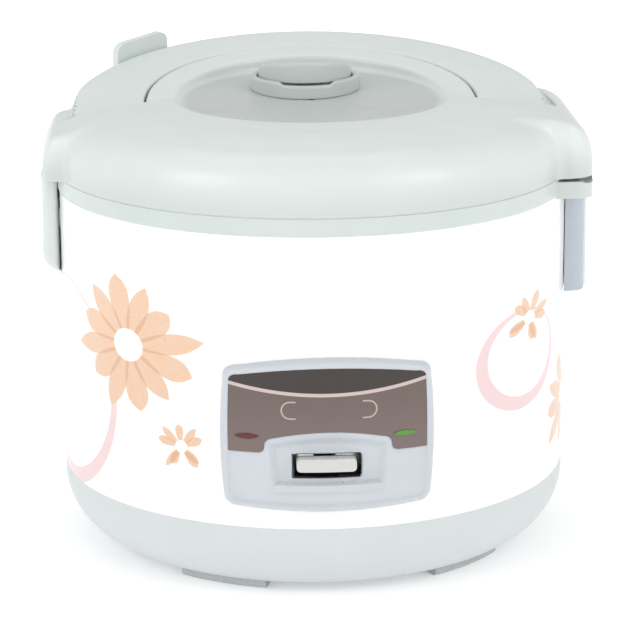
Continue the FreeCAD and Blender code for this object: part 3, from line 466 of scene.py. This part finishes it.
def printed_plate():
    """Taupe metallic film: dark band under the arched top, a light curved stripe, and two brackets."""
    g = Graph("printed_film")
    x, _, z = g.position()
    rise = z - (x * x * STRIPE_BOW + STRIPE_Z)
    upper, lower = srgb(64, 57, 55), srgb(123, 109, 105)
    stripe_colour, line = srgb(204, 186, 182), srgb(190, 174, 170)
    fade = g.ramp(z, 0.080, 0.112)
    brushed = g.noise(260.0, detail=5, stretch=(1.0, 1.0, 22.0))
    body = g.shade(lower, srgb(111, 98, 94), fade)
    above = g.ramp(rise, -0.0001, 0.0002)
    base = g.shade(body, upper, above)
    stripe = g.ramp(g.math("ABSOLUTE", rise), 0.00075, 0.0010, 1.0, 0.0)
    base = g.shade(base, stripe_colour, stripe)
    across = g.math("ABSOLUTE", x - BRACKETS_X)
    past_x = g.math("MAXIMUM", across - BRACKETS_HALF, 0.0)
    past_z = z - BRACKETS_Z
    edge = g.math("SQRT", past_x * past_x + past_z * past_z) - BRACKETS_R
    bracket = g.ramp(g.math("ABSOLUTE", edge), 0.00026, 0.00046, 1.0, 0.0)
    bracket = bracket * g.ramp(across, 0.0160, 0.0166)
    base = g.shade(base, line, bracket)
    shine = g.shade(darker((1.0, 1.0, 1.0), 0.90), (1.0, 1.0, 1.0), brushed)
    multiply = g.put("ShaderNodeMix", data_type="RGBA", blend_type="MULTIPLY")
    multiply.inputs["Factor"].default_value = 1.0
    g.feed(multiply.inputs[6], base)
    g.feed(multiply.inputs[7], shine)
    g.colour(multiply.outputs[2])
    g.set("Metallic", 0.25)
    g.set("Roughness", g.ramp(brushed, 0.3, 0.7, 0.34, 0.46))
    g.bump(brushed, 0.00001)
    return g


def lamp_lens(name, colour, deep):
    """Tinted indicator lens with fine moulded ribs."""
    g = Graph(name)
    x, _, _ = g.position()
    ribs = g.math("SINE", x * 9000.0) * 0.5 + 0.5
    g.colour(g.shade(deep, colour, g.ramp(ribs * 0.5 + g.noise(300.0) * 0.5, 0.3, 0.75)))
    g.set("Roughness", g.ramp(g.noise(400.0), 0.3, 0.7, 0.10, 0.2))
    g.set("Coat Weight", 0.35)
    g.bump(ribs, 0.00006)
    return g


def clear_plastic(name, tint, rough=0.08, through=0.85):
    """Tinted clear moulding with faint flow lines."""
    g = Graph(name)
    flow = g.noise(55.0, detail=4, stretch=(1.0, 1.0, 3.0))
    g.colour(g.shade(darker(tint, 0.93), tint, flow))
    g.set("Roughness", g.ramp(flow, 0.3, 0.7, rough, rough + 0.07))
    g.set("Transmission Weight", through)
    g.set("IOR", 1.49)
    g.bump(flow, 0.00005)
    return g


def make_materials():
    cast_grain = 0.00005
    braid, braid_light = srgb(222, 214, 200), srgb(240, 236, 228)
    made = {
        "white_enamel": painted_jacket(),
        "lid_plastic": lid_plastic(srgb(217, 224, 222)),
        "ring_plastic": moulded_plastic("pale_ring_plastic", srgb(200, 209, 206)),
        "base_plastic": moulded_plastic("pale_base_plastic", srgb(209, 214, 215), rough=0.36),
        "frame_plastic": panel_plastic(srgb(199, 204, 210)),
        "panel_print": printed_plate(),
        "red_lens": lamp_lens("red_lens_plastic", srgb(108, 0, 30), srgb(72, 0, 18)),
        "green_lens": lamp_lens("green_lens_plastic", srgb(92, 156, 52), srgb(60, 122, 34)),
        "lever_plastic": switch_plastic(),
        "clear_plastic": clear_plastic("smoky_clear_plastic", srgb(207, 216, 226), rough=0.16, through=0.30),
        "pot_aluminium": spun_metal("spun_pot_aluminium", srgb(205, 206, 208), rough=0.26),
        "cast_aluminium": spun_metal("turned_cast_aluminium", srgb(178, 178, 180), 0.36, cast_grain),
        "sheet_aluminium": spun_metal("sheet_aluminium_bright", srgb(212, 213, 214), 0.24, lines=500.0),
        "steel": rolled_metal("zinc_plated_steel", srgb(176, 178, 180)),
        "bright_steel": rolled_metal("bright_spring_steel", srgb(200, 200, 202), rough=0.2, grain=0.00001),
        "screw_steel": rolled_metal("nickel_screw_steel", srgb(186, 186, 186), rough=0.25, along=(4, 4, 4)),
        "rubber_grey": speckled("grey_silicone", srgb(170, 176, 176), srgb(186, 192, 191), rough=0.6),
        "inner_plastic": moulded_plastic("inner_lid_plastic", srgb(216, 220, 218), rough=0.42),
        "black_plastic": speckled("black_phenolic", srgb(26, 26, 27), srgb(38, 38, 40), rough=0.45),
        "brass": rolled_metal("inlet_brass", srgb(206, 180, 120), rough=0.22),
        "ceramic_block": speckled("steatite_ceramic", srgb(225, 221, 210), srgb(238, 235, 228), rough=0.5),
        "ferrite": speckled("sintered_ferrite", srgb(48, 48, 52), srgb(70, 70, 76), rough=0.6),
        "heater_tape": rolled_metal("foil_heater_tape", srgb(190, 176, 150), rough=0.4),
        "small_parts": speckled("phenolic_small_parts", srgb(70, 52, 40), srgb(92, 70, 54), rough=0.5),
        "wire_insulation": speckled("glass_braid_sleeve", braid, braid_light, rough=0.75),
        "board": speckled("pertinax_board", srgb(150, 104, 62), srgb(172, 124, 78), rough=0.55),
    }
    return {slot: graph.material for slot, graph in made.items()}


# ---------------------------------------------------------------- smooth shapes, in millimetres
def smooth_max(a, b, k):
    """Larger of two distances, rounded over a width of k where they meet."""
    near = numpy.maximum(k - numpy.abs(a - b), 0.0)
    return numpy.maximum(a, b) + near * near * 0.25 / k


def smooth_min(a, b, k):
    """Smaller of two distances, rounded in the same way."""
    return -smooth_max(-a, -b, k)


def ease(value, low, high):
    """0 below low and 1 above high, with a soft start and end."""
    t = numpy.clip((value - low) / (high - low), 0.0, 1.0)
    return t * t * (3.0 - 2.0 * t)


def block(x, y, z, low, high):
    """Distance to an upright box, negative inside."""
    sides = [numpy.maximum(a - v, v - b) for v, a, b in zip((x, y, z), low, high)]
    return numpy.maximum(numpy.maximum(sides[0], sides[1]), sides[2])


class Outline:
    """Closed outline. A pair is a corner; four numbers are the middle and the end of a bow."""
    STEP = 0.4
    MARGIN = 14.0
    BOW_PARTS = 10

    def __init__(self, points):
        line = [points[0]]
        for item in points[1:]:
            if len(item) == 4:
                start = line[-1]
                for i in range(1, self.BOW_PARTS + 1):
                    t = i / self.BOW_PARTS
                    weights = (2 * t * t - 3 * t + 1, 4 * t - 4 * t * t, 2 * t * t - t)
                    line.append(tuple(weights[0] * start[n] + weights[1] * item[n] + weights[2] * item[n + 2]
                                      for n in (0, 1)))
            else:
                line.append(item)
        corners = numpy.array(line)
        self.low = corners.min(0) - self.MARGIN
        size = corners.max(0) + self.MARGIN - self.low
        self.count = (size / self.STEP).astype(int) + 2
        a, b = numpy.meshgrid(*[self.low[n] + self.STEP * numpy.arange(self.count[n]) for n in (0, 1)],
                              indexing="ij")
        nearest = numpy.full(a.shape, 1e9)
        inside = numpy.zeros(a.shape, bool)
        for (a0, b0), (a1, b1) in zip(corners, numpy.roll(corners, -1, 0)):
            da, db = a1 - a0, b1 - b0
            length = da * da + db * db
            if length < 1e-12:
                continue
            share = numpy.clip(((a - a0) * da + (b - b0) * db) / length, 0.0, 1.0)
            nearest = numpy.minimum(nearest, (a - a0 - share * da) ** 2 + (b - b0 - share * db) ** 2)
            if db:
                inside ^= ((b0 > b) != (b1 > b)) & (a < a0 + (b - b0) * da / db)
        self.table = numpy.where(inside, -1.0, 1.0) * numpy.sqrt(nearest)

    def distance(self, a, b):
        i = numpy.clip((a - self.low[0]) / self.STEP, 0.0, self.count[0] - 1.001)
        j = numpy.clip((b - self.low[1]) / self.STEP, 0.0, self.count[1] - 1.001)
        m, n = i.astype(int), j.astype(int)
        i, j = i - m, j - n
        t = self.table
        near = t[m, n] * (1 - j) + t[m, n + 1] * j
        far = t[m + 1, n] * (1 - j) + t[m + 1, n + 1] * j
        return near * (1 - i) + far * i


def slopes(field, points, step):
    """Field and its gradient at each point."""
    x, y, z = points.T
    pairs = [field(x + dx, y + dy, z + dz) - field(x - dx, y - dy, z - dz)
             for dx, dy, dz in ((step, 0, 0), (0, step, 0), (0, 0, step))]
    return field(x, y, z), numpy.stack(pairs, 1) / (2 * step)


def surface(name, field, low, high, cell):
    """Closed mesh where field is zero: one point in each grid cell that the surface passes through."""
    axes = [numpy.arange(a - 1.5 * cell, b + 2.5 * cell, cell) for a, b in zip(low, high)]
    values = field(*numpy.meshgrid(*axes, indexing="ij"))
    cells = [n - 1 for n in values.shape]
    number = numpy.prod(cells)
    count = numpy.zeros(number)
    total = numpy.zeros((3, number))
    quads = []
    for axis in range(3):
        first = numpy.take(values, range(values.shape[axis] - 1), axis)
        second = numpy.take(values, range(1, values.shape[axis]), axis)
        crossing = (first < 0) != (second < 0)
        where = numpy.argwhere(crossing)
        start = first[crossing]
        point = where.astype(float)
        point[:, axis] += start / (start - second[crossing])
        one, two = [n for n in range(3) if n != axis]
        ring = []
        for step_one, step_two in ((0, 0), (1, 0), (1, 1), (0, 1)):
            index = where.copy()
            index[:, one] -= step_one
            index[:, two] -= step_two
            ring.append(numpy.ravel_multi_index(index.T, cells))
            count += numpy.bincount(ring[-1], minlength=number)
            for n in range(3):
                total[n] += numpy.bincount(ring[-1], weights=point[:, n], minlength=number)
        quad = numpy.stack(ring, 1)
        flip = (start > 0) != (axis == 1)
        quad[flip] = quad[flip][:, ::-1]
        quads.append(quad)
    used = numpy.flatnonzero(count)
    place = numpy.zeros(number, int)
    place[used] = numpy.arange(len(used))
    points = (total[:, used] / count[used]).T * cell + numpy.array([axis[0] for axis in axes])
    for _ in range(4):
        value, slope = slopes(field, points, cell * 0.2)
        move = value / numpy.maximum((slope * slope).sum(1), 0.05)
        points -= numpy.clip(move, -0.4 * cell, 0.4 * cell)[:, None] * slope
    value, slope = slopes(field, points, cell * 0.35)
    slope /= numpy.maximum(numpy.linalg.norm(slope, axis=1, keepdims=True), 1e-9)
    mesh = bpy.data.meshes.new(name)
    mesh.from_pydata((points * MM).tolist(), [], place[numpy.concatenate(quads)].tolist())
    mesh.polygons.foreach_set("use_smooth", [True] * len(mesh.polygons))
    mesh.normals_split_custom_set_from_vertices(slope.tolist())
    piece = bpy.data.objects.new(name, mesh)
    scene.collection.objects.link(piece)
    return piece


def finish_mesh(name, bm):
    """Shaded-smooth object from a built mesh."""
    mesh = bpy.data.meshes.new(name)
    bm.normal_update()
    bm.to_mesh(mesh)
    bm.free()
    for polygon in mesh.polygons:
        polygon.use_smooth = True
    piece = bpy.data.objects.new(name, mesh)
    scene.collection.objects.link(piece)
    return piece


# ---------------------------------------------------------------- lid and handle
WALL = 2.4
RIM_R = 132.6                                   # the lid's edge
JOINTS = {joint["name"]: joint for joint in frame["record"]["behaviour"]["joints"]}
PIVOT_Y, PIVOT_Z = [v / MM for v in JOINTS["handle_fold"]["pos_m"][1:]]
HANDLE_TILT = math.radians(8.5)                 # the folded handle rises to the rear
HANDLE_IN = 86.6
END_R = 5.7                                     # front of the handle's ends, about the pivot
SWING_R = 6.3                                   # room for it in the lid
FRONT_ROOM = 5.3                                # room in front of the raised handle
FOLD_ROOM = 5.7                                 # room below the folded handle's middle
SWING_END, FOLD_END = 127.2, 128.8              # outer ends of the room, raised and folded
LATCH_SIDE_ROOM = 4.6                           # the room runs out over the latch shoulder
DECK_TOP = 5.4                                  # lid inside the handle, above the pivot
SPLIT = -2.6                                    # joint between the handle and its underside
RECESS_R, RECESS_Z, RECESS_SLOPE = 69.5, 229.6, math.tan(math.radians(3.0))
VENT_X, VENT_Y, VENT_R = -2.0, 28.0, 29.0
SPIGOT_R = 20.0                                 # spigot of the vent's collar, in its hole in the lid
PIN_HOLE_R, PIN_HOLE_END = 2.8, 66.0            # holes for the handle's pins, and where they end inside
LUG_Y = 36.4                                    # lugs that hold the hinge pin
HINGE_ROOM = (118.0, -33.4, 180.0), (141.9, 33.4, 206.5)        # for the bracket, at every angle
HOOK_ROOM = (-139.5, -9.4, 180.0), (-134.4, 9.4, 206.0)         # for the latch's hook when it swings back

LID_SECTION = Outline([
    (0.0, 170.0), (RIM_R, 170.0), (RIM_R, 199.0), (131.8, 210.0, 128.6, 217.4), (122.8, 222.8, 114.0, 226.0),
    (100.0, 229.2, 86.0, 230.2), (78.0, 230.8, 60.0, 231.0), (0.0, 231.0)])
HINGE_SIDE = Outline([
    (100.0, 170.0), (144.3, 170.0), (144.3, 199.0), (142.7, 208.6, 138.4, 216.8),
    (134.4, 221.6, 127.6, 224.8), (120.0, 226.0, 110.0, 226.6), (100.0, 226.6)])
HINGE_PLAN = Outline([
    (100.0, -51.0), (129.0, -51.0), (138.6, -46.9, 142.6, -37.4), (144.3, 0.0, 142.6, 37.4),
    (138.6, 46.9, 129.0, 51.0), (100.0, 51.0)])
LATCH_SIDE = Outline([
    (-100.0, 170.0), (-141.0, 170.0), (-141.0, 198.0), (-139.8, 207.4, -135.7, 215.4),
    (-133.0, 218.2, -128.0, 219.6), (-112.0, 222.6), (-100.0, 222.6)])
LATCH_PLAN = Outline([
    (-100.0, -38.0), (-128.0, -38.0), (-136.2, -34.6, -139.4, -26.4), (-141.0, 0.0, -139.4, 26.4),
    (-136.2, 34.6, -128.0, 38.0), (-100.0, 38.0)])
HANDLE_BOW = Outline([
    (87.7, -5.0), (125.4, -5.0), (127.4, -4.5, 128.0, -2.8), (127.6, -1.7, 126.3, -0.9),
    (120.0, 2.9, 110.0, 4.6), (98.0, 5.2, 87.9, 5.0), (86.9, 4.7, HANDLE_IN, 3.7), (HANDLE_IN, -3.9),
    (86.9, -4.7, 87.7, -5.0)])
HANDLE_END = Outline([
    (87.7, -5.0), (123.6, -5.0), (125.2, -4.9, 125.3, -3.7), (123.9, -2.2, 120.0, -0.9),
    (114.0, 0.9, 108.0, 2.4), (98.0, 4.2, 87.9, 4.9), (86.9, 4.6, HANDLE_IN, 3.7), (HANDLE_IN, -3.9),
    (86.9, -4.7, 87.7, -5.0)])


def handle_axes(y, z):
    """Distance behind the handle's pivot and height above it, along the folded handle."""
    back, rise = y - PIVOT_Y, z - PIVOT_Z
    return (back * math.cos(HANDLE_TILT) + rise * math.sin(HANDLE_TILT),
            rise * math.cos(HANDLE_TILT) - back * math.sin(HANDLE_TILT))


def whole_handle(x, y, z):
    """Bow-shaped handle whose ends follow the crown of the lid."""
    along, up = handle_axes(y, z)
    behind = numpy.maximum(along, 0.0)
    reach = numpy.hypot(x, behind)
    to_bow = ease(numpy.degrees(numpy.arctan2(behind, numpy.abs(x))), 3.0, 24.0)
    section = HANDLE_END.distance(reach, up) * (1.0 - to_bow) + HANDLE_BOW.distance(reach, up) * to_bow
    return numpy.maximum(section, numpy.where(along < 0.0, numpy.hypot(along, up) - END_R, -50.0))


def handle_top(x, y, z):
    """Part of the handle above its joint."""
    _, up = handle_axes(y, z)
    return smooth_max(whole_handle(x, y, z), SPLIT - up, 0.5)


def handle_under(x, y, z):
    """Part of the handle below its joint, without the place of the lift tab."""
    along, up = handle_axes(y, z)
    tab = block(*handle_turn(x, along), up, (122.0, -19.4, -4.4), (130.0, 19.4, 6.0))
    return smooth_max(numpy.maximum(whole_handle(x, y, z), -tab), up - SPLIT + 0.1, 0.5)


def handle_turn(x, along):
    """Plan place seen from the lift tab, which stands at the handle's rear left."""
    return (along - x) * math.sqrt(0.5), (-x - along) * math.sqrt(0.5)


def handle_over(x, y, z):
    """Upper part of the handle, without the place of the lift tab."""
    along, up = handle_axes(y, z)
    tab = block(*handle_turn(x, along), up, (124.3, -19.1, -4.1), (130.0, 19.1, 12.0))
    return numpy.maximum(handle_top(x, y, z), -tab)


def lid_skin(x, y, z):
    """Outside of the lid, carried on downwards below its edge."""
    radius = numpy.hypot(x, y)
    along, up = handle_axes(y, z)
    from_pivot = numpy.sqrt(x * x + (y - PIVOT_Y) ** 2 + (z - PIVOT_Z) ** 2)
    hinge = smooth_max(HINGE_SIDE.distance(x, z), HINGE_PLAN.distance(x, y), 5.0)
    latch = smooth_max(LATCH_SIDE.distance(x, z), LATCH_PLAN.distance(x, y), 5.0)
    skin = smooth_min(LID_SECTION.distance(radius, z), hinge, 5.0)
    skin = smooth_min(skin, latch, 5.0)
    deck = numpy.maximum(smooth_max(from_pivot - HANDLE_IN + 0.6, up - DECK_TOP, 2.4), PIVOT_Y - y)
    skin = smooth_min(skin, numpy.maximum(deck, 200.0 - z), 1.0)
    recess = smooth_max(radius - RECESS_R, RECESS_Z + y * RECESS_SLOPE - z, 3.0)
    skin = smooth_max(skin, -recess, 2.6)
    reach = numpy.hypot(x, numpy.maximum(along, 0.0)) - numpy.where(x < 0.0, LATCH_SIDE_ROOM, 0.0)
    swing = numpy.maximum(numpy.hypot(along, up) - SWING_R, reach - SWING_END)
    raised = numpy.maximum(numpy.maximum(-along - FRONT_ROOM, -up), reach - SWING_END)
    folded = numpy.maximum(numpy.maximum(-FOLD_ROOM - up, -along), reach - FOLD_END)
    room = numpy.minimum(numpy.minimum(swing, raised), folded)
    room = numpy.maximum(room, HANDLE_IN - 0.8 - from_pivot)
    return smooth_max(skin, -room, 1.8)


def lid_body(x, y, z):
    """Lid shell with its rim, the lugs for the hinge pin, and room for the bracket, latch hook and vent."""
    skin = lid_skin(x, y, z)
    lid = numpy.maximum(skin, -skin - WALL)
    dome = LID_SECTION.distance(numpy.hypot(x, y), z)
    rim = numpy.maximum(numpy.maximum(numpy.abs(dome + 0.5 * WALL) - 0.5 * WALL, skin + 0.4), z - 214.0)
    lid = numpy.minimum(lid, rim)
    for lug_y in (-LUG_Y, LUG_Y):
        lug = block(x, y, z, (135.8, lug_y - 2.2, 198.6), (144.0, lug_y + 2.2, 219.0))
        lid = numpy.minimum(lid, numpy.maximum(lug, skin + 0.8))
    lid = smooth_max(lid, SEAM / MM - z, 1.0)
    lid = numpy.maximum(lid, -block(x, y, z, *HINGE_ROOM))
    lid = numpy.maximum(lid, -block(x, y, z, *HOOK_ROOM))
    lid = numpy.maximum(lid, SPIGOT_R - numpy.hypot(x - VENT_X, y - VENT_Y))
    bores = numpy.maximum(numpy.hypot(y - PIVOT_Y, z - PIVOT_Z) - PIN_HOLE_R, PIN_HOLE_END - numpy.abs(x))
    return numpy.maximum(lid, -bores)


# ---------------------------------------------------------------- steam vent
COLLAR_TOP = 238.0
CAP_R, CAP_Z, CAP_SLOPE = 24.5, 243.4, math.tan(math.radians(12.0))


def vent_collar(x, y, z):
    """Ring with a cut-away front rim and a spigot into the lid."""
    reach = numpy.hypot(x - VENT_X, y - VENT_Y)
    floor = RECESS_Z + y * RECESS_SLOPE
    dip = ease(15.0 - numpy.abs(x - VENT_X), 0.0, 3.5) * ease(VENT_Y - 14.0 - y, 0.0, 3.0)
    wall = numpy.maximum(smooth_max(reach - VENT_R, z - COLLAR_TOP + 1.6 * dip, 1.6), floor - z)
    spigot = numpy.maximum(numpy.maximum(reach - SPIGOT_R, z - 236.0), 222.0 - z)
    collar = numpy.minimum(wall, spigot)
    collar = smooth_max(collar, -numpy.maximum(reach - 25.4, 233.6 - z), 0.9)
    notch = numpy.hypot(x - VENT_X, y - VENT_Y + 9.4) - 18.0
    collar = smooth_max(collar, -numpy.maximum(notch, 234.6 - z), 0.7)
    return numpy.maximum(collar, 13.6 - reach)


def vent_cap(x, y, z):
    """Cap with a sloping top, a slit in its front and four holes behind."""
    reach = numpy.hypot(x - VENT_X, y - VENT_Y)
    top = (z - CAP_Z + (y - VENT_Y) * CAP_SLOPE) * 0.978
    cap = numpy.maximum(smooth_max(reach - CAP_R, top, 3.2), 234.0 - z)
    slit = block(x, y, z, (VENT_X - 13.5, 0.0, 235.9), (VENT_X + 13.5, 9.5, 237.1))
    cap = smooth_max(cap, -slit, 0.4)
    stem = numpy.maximum(numpy.abs(reach - 10.5) - 0.95, numpy.maximum(216.0 - z, z - 240.0))
    cap = numpy.minimum(cap, stem)
    for dx in (-9, -3, 3, 9):
        hole = numpy.hypot(x - VENT_X - dx, y - VENT_Y - 14.5 + abs(dx) * 0.12) - 1.6
        cap = smooth_max(cap, -numpy.maximum(hole, 236.5 - z), 0.8)
    return cap


# ---------------------------------------------------------------- latch lever
LATCH_BOW = 0.0022                              # bow of the lever's face, per millimetre squared
LATCH_HALF = 16.4
LATCH_PIVOT_X, LATCH_PIVOT_Z = -136.2, 172.0
LATCH_OUTER = Outline([
    (-131.7, 195.4), (-138.1, 195.4), (-140.6, 194.6, -140.7, 191.0), (-140.7, 160.0),
    (-139.9, 149.0, -131.7, 143.2)])
LATCH_INNER = Outline([
    (-120.0, 220.0), (-139.0, 220.0), (-139.0, 160.0), (-138.0, 151.0, -131.0, 145.8), (-120.0, 145.8)])
LATCH_HOOK = Outline([
    (-139.6, 176.0), (-136.2, 176.0), (-134.6, 179.0), (-134.6, 200.9), (-133.4, 200.9), (-133.4, 202.2),
    (-134.8, 203.6), (-136.2, 203.6), (-136.2, 182.0), (-139.6, 180.0)])


def latch_lever(x, y, z):
    """Hollow lever with the hook inside it, on two ribs round the pivot."""
    bowed = x - LATCH_BOW * y * y
    shell = smooth_max(LATCH_OUTER.distance(bowed, z), numpy.abs(y) - LATCH_HALF, 4.0)
    hollow = numpy.maximum(LATCH_INNER.distance(x, z), numpy.abs(y) - 14.2)
    shell = numpy.maximum(shell, -hollow)
    over_ring = numpy.maximum(numpy.hypot(x, y) - RIM_R - 0.35, 182.7 - z)
    shell = numpy.maximum(shell, -over_ring)
    shell = numpy.maximum(shell, x + 131.7)
    hook = numpy.maximum(LATCH_HOOK.distance(x, z), numpy.abs(y) - 8.0)
    for rib_y in (-8.0, 8.0):
        rib = block(x, y, z, (-139.6, rib_y - 1.2, 168.5), (-134.0, rib_y + 1.2, 175.5))
        hook = numpy.minimum(hook, rib)
    hook = numpy.maximum(hook, 1.4 - numpy.hypot(x - LATCH_PIVOT_X, z - LATCH_PIVOT_Z))
    return numpy.minimum(shell, hook)


# ---------------------------------------------------------------- control panel
PANEL_X = 1.0                                   # middle of the panel
PANEL = Outline([
    (-43.5, 51.4), (0.0, 49.6, 43.5, 51.4), (48.8, 52.8, 50.9, 58.0), (52.4, 87.0, 50.9, 115.4),
    (49.4, 120.8, 43.5, 122.8), (0.0, 127.3, -43.5, 122.8), (-49.4, 120.8, -50.9, 115.4),
    (-52.4, 87.0, -50.9, 58.0), (-48.8, 52.8, -43.5, 51.4)])
WINDOW = Outline([
    (-42.0, 54.4), (0.0, 53.0, 42.0, 54.4), (46.6, 55.4, 48.2, 59.4), (48.9, 87.0, 48.3, 113.4),
    (47.4, 117.6, 43.0, 118.9), (0.0, 122.7, -43.0, 118.9), (-47.4, 117.6, -48.3, 113.4),
    (-48.9, 87.0, -48.2, 59.4), (-46.6, 55.4, -42.0, 54.4)])
SWITCH_RECESS = Outline([
    (-27.0, 57.4), (27.0, 57.4), (28.6, 57.8, 28.8, 59.4), (29.4, 70.0, 30.2, 80.0),
    (29.8, 84.4, 26.0, 86.0), (0.0, 89.2, -26.0, 86.0), (-29.8, 84.4, -30.2, 80.0),
    (-29.4, 70.0, -28.8, 59.4), (-28.6, 57.8, -27.0, 57.4)])
SLOT = Outline([
    (-14.9, 66.5), (14.9, 66.5), (15.9, 66.8, 16.3, 67.9), (16.3, 76.8), (15.9, 77.8, 14.9, 78.2),
    (-14.9, 78.2), (-15.9, 77.8, -16.3, 76.8), (-16.3, 67.9), (-15.9, 66.8, -14.9, 66.5)])
PLATE_EDGE = Outline([
    (-60.0, 79.8), (-34.4, 79.8), (-32.2, 80.6, -31.4, 82.8), (-30.2, 86.0, -26.6, 87.3),
    (0.0, 90.4, 26.6, 87.3), (30.2, 86.0, 31.4, 82.8), (32.2, 80.6, 34.4, 79.8), (60.0, 79.8),
    (60.0, 130.0), (-60.0, 130.0)])
PANEL_BACK = 132.05                             # back of the frame, on the jacket
PLATE_R, PLATE_THICK = 135.2, 1.9               # face of the printed plate, and its thickness
# Height of the frame above its back, from its outer edge inwards, and then from the window's edge inwards
RIM_INSET = (0.0, 0.25, 0.7, 1.4, 2.2, 3.0)
RIM_HEIGHT = (0.8, 1.7, 2.6, 3.35, 3.8, 3.95)
LIP_INSET = (-2.0, -1.2, -0.5, 0.0, 0.5, 1.0)
LIP_HEIGHT = (3.95, 3.85, 3.6, 3.2, 2.7, 2.35)


def panel_frame(x, y, z):
    """Bowed frame: raised rim, ledge for the plate, and the sunk switch recess with its slot."""
    radius = numpy.hypot(x, y)
    across = x - PANEL_X
    edge = PANEL.distance(across, z)
    window = WINDOW.distance(across, z)
    rim = numpy.interp(-edge, RIM_INSET, RIM_HEIGHT)
    face = numpy.minimum(rim, numpy.interp(-window, LIP_INSET, LIP_HEIGHT))
    opening = numpy.maximum(numpy.abs(x) - 45.6, numpy.abs(z - 81.0) - 18.2)
    back = -numpy.clip(-opening * 1.6, 0.0, 3.2)
    plate_gap = PLATE_EDGE.distance(across, z)
    face = face + 0.45 * numpy.exp(-((plate_gap - 0.9) / 0.6) ** 2) * ease(-window, 0.5, 2.0)
    face = face - 3.4 * ease(-SWITCH_RECESS.distance(across, z), 0.0, 6.0)
    face = numpy.maximum(face, back + 1.5)
    slot = SLOT.distance(across, z)
    face = face + 0.7 * numpy.exp(-((slot - 1.0) / 0.75) ** 2)
    shape = numpy.maximum(radius - PANEL_BACK - face, PANEL_BACK + back - radius)
    shape = numpy.maximum(shape, edge)
    return numpy.maximum(smooth_max(shape, -slot, 0.8), y + 100.0)


def panel_plate(x, y, z):
    """Curved plate between the window's edge and the switch recess."""
    radius = numpy.hypot(x, y)
    across = x - PANEL_X
    sheet = numpy.maximum(radius - PLATE_R, PLATE_R - PLATE_THICK - radius)
    outline = numpy.maximum(WINDOW.distance(across, z) - 0.4, PLATE_EDGE.distance(across, z))
    return numpy.maximum(smooth_max(sheet, outline, 0.5), y + 100.0)


def make_pieces():
    """Smooth pieces that stand for CAD nodes: node, field, lowest and highest corner, grid cell and body."""
    jobs = (
        ("lid_shell", lid_body, (-142, -133, 196), (145, 133, 244), 1.15, "lid"),
        ("carrying_handle", handle_over, (-129, -5, 216), (129, 133, 252), 1.0, "handle"),
        ("handle_underside", handle_under, (-129, -5, 216), (129, 133, 246), 1.0, "handle"),
        ("steam_vent_collar", vent_collar, (-31.5, -1.5, 221), (27.5, 57.5, 238.5), 0.6, "lid"),
        ("steam_vent_cap", vent_cap, (-27, 3, 215.5), (23, 53, 249.5), 0.6, "vent_cap"),
        ("latch_lever", latch_lever, (-141.5, -16.8, 143), (-131, 16.8, 204), 0.6, "latch"),
        ("panel_frame", panel_frame, (-52, -136.4, 49), (54, -118, 128), 0.6, "housing"),
        ("panel_plate", panel_plate, (-49, -135.6, 79), (51, -120, 124), 0.6, "housing"),
    )
    for node, field, low, high, cell, body in jobs:
        piece = surface(node + "_shape", field, low, high, cell)
        slot = next(part["material_slot"] for part in frame["record"]["subparts"] if part["node"] == node)
        piece.data.materials.append(materials[slot])
        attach(piece, body)
        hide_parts(node)


make_camera()
make_studio()
materials = make_materials()
for node in NODES.values():
    for holder in node.material_slots:
        holder.material = materials[holder.material.name]
make_pieces()
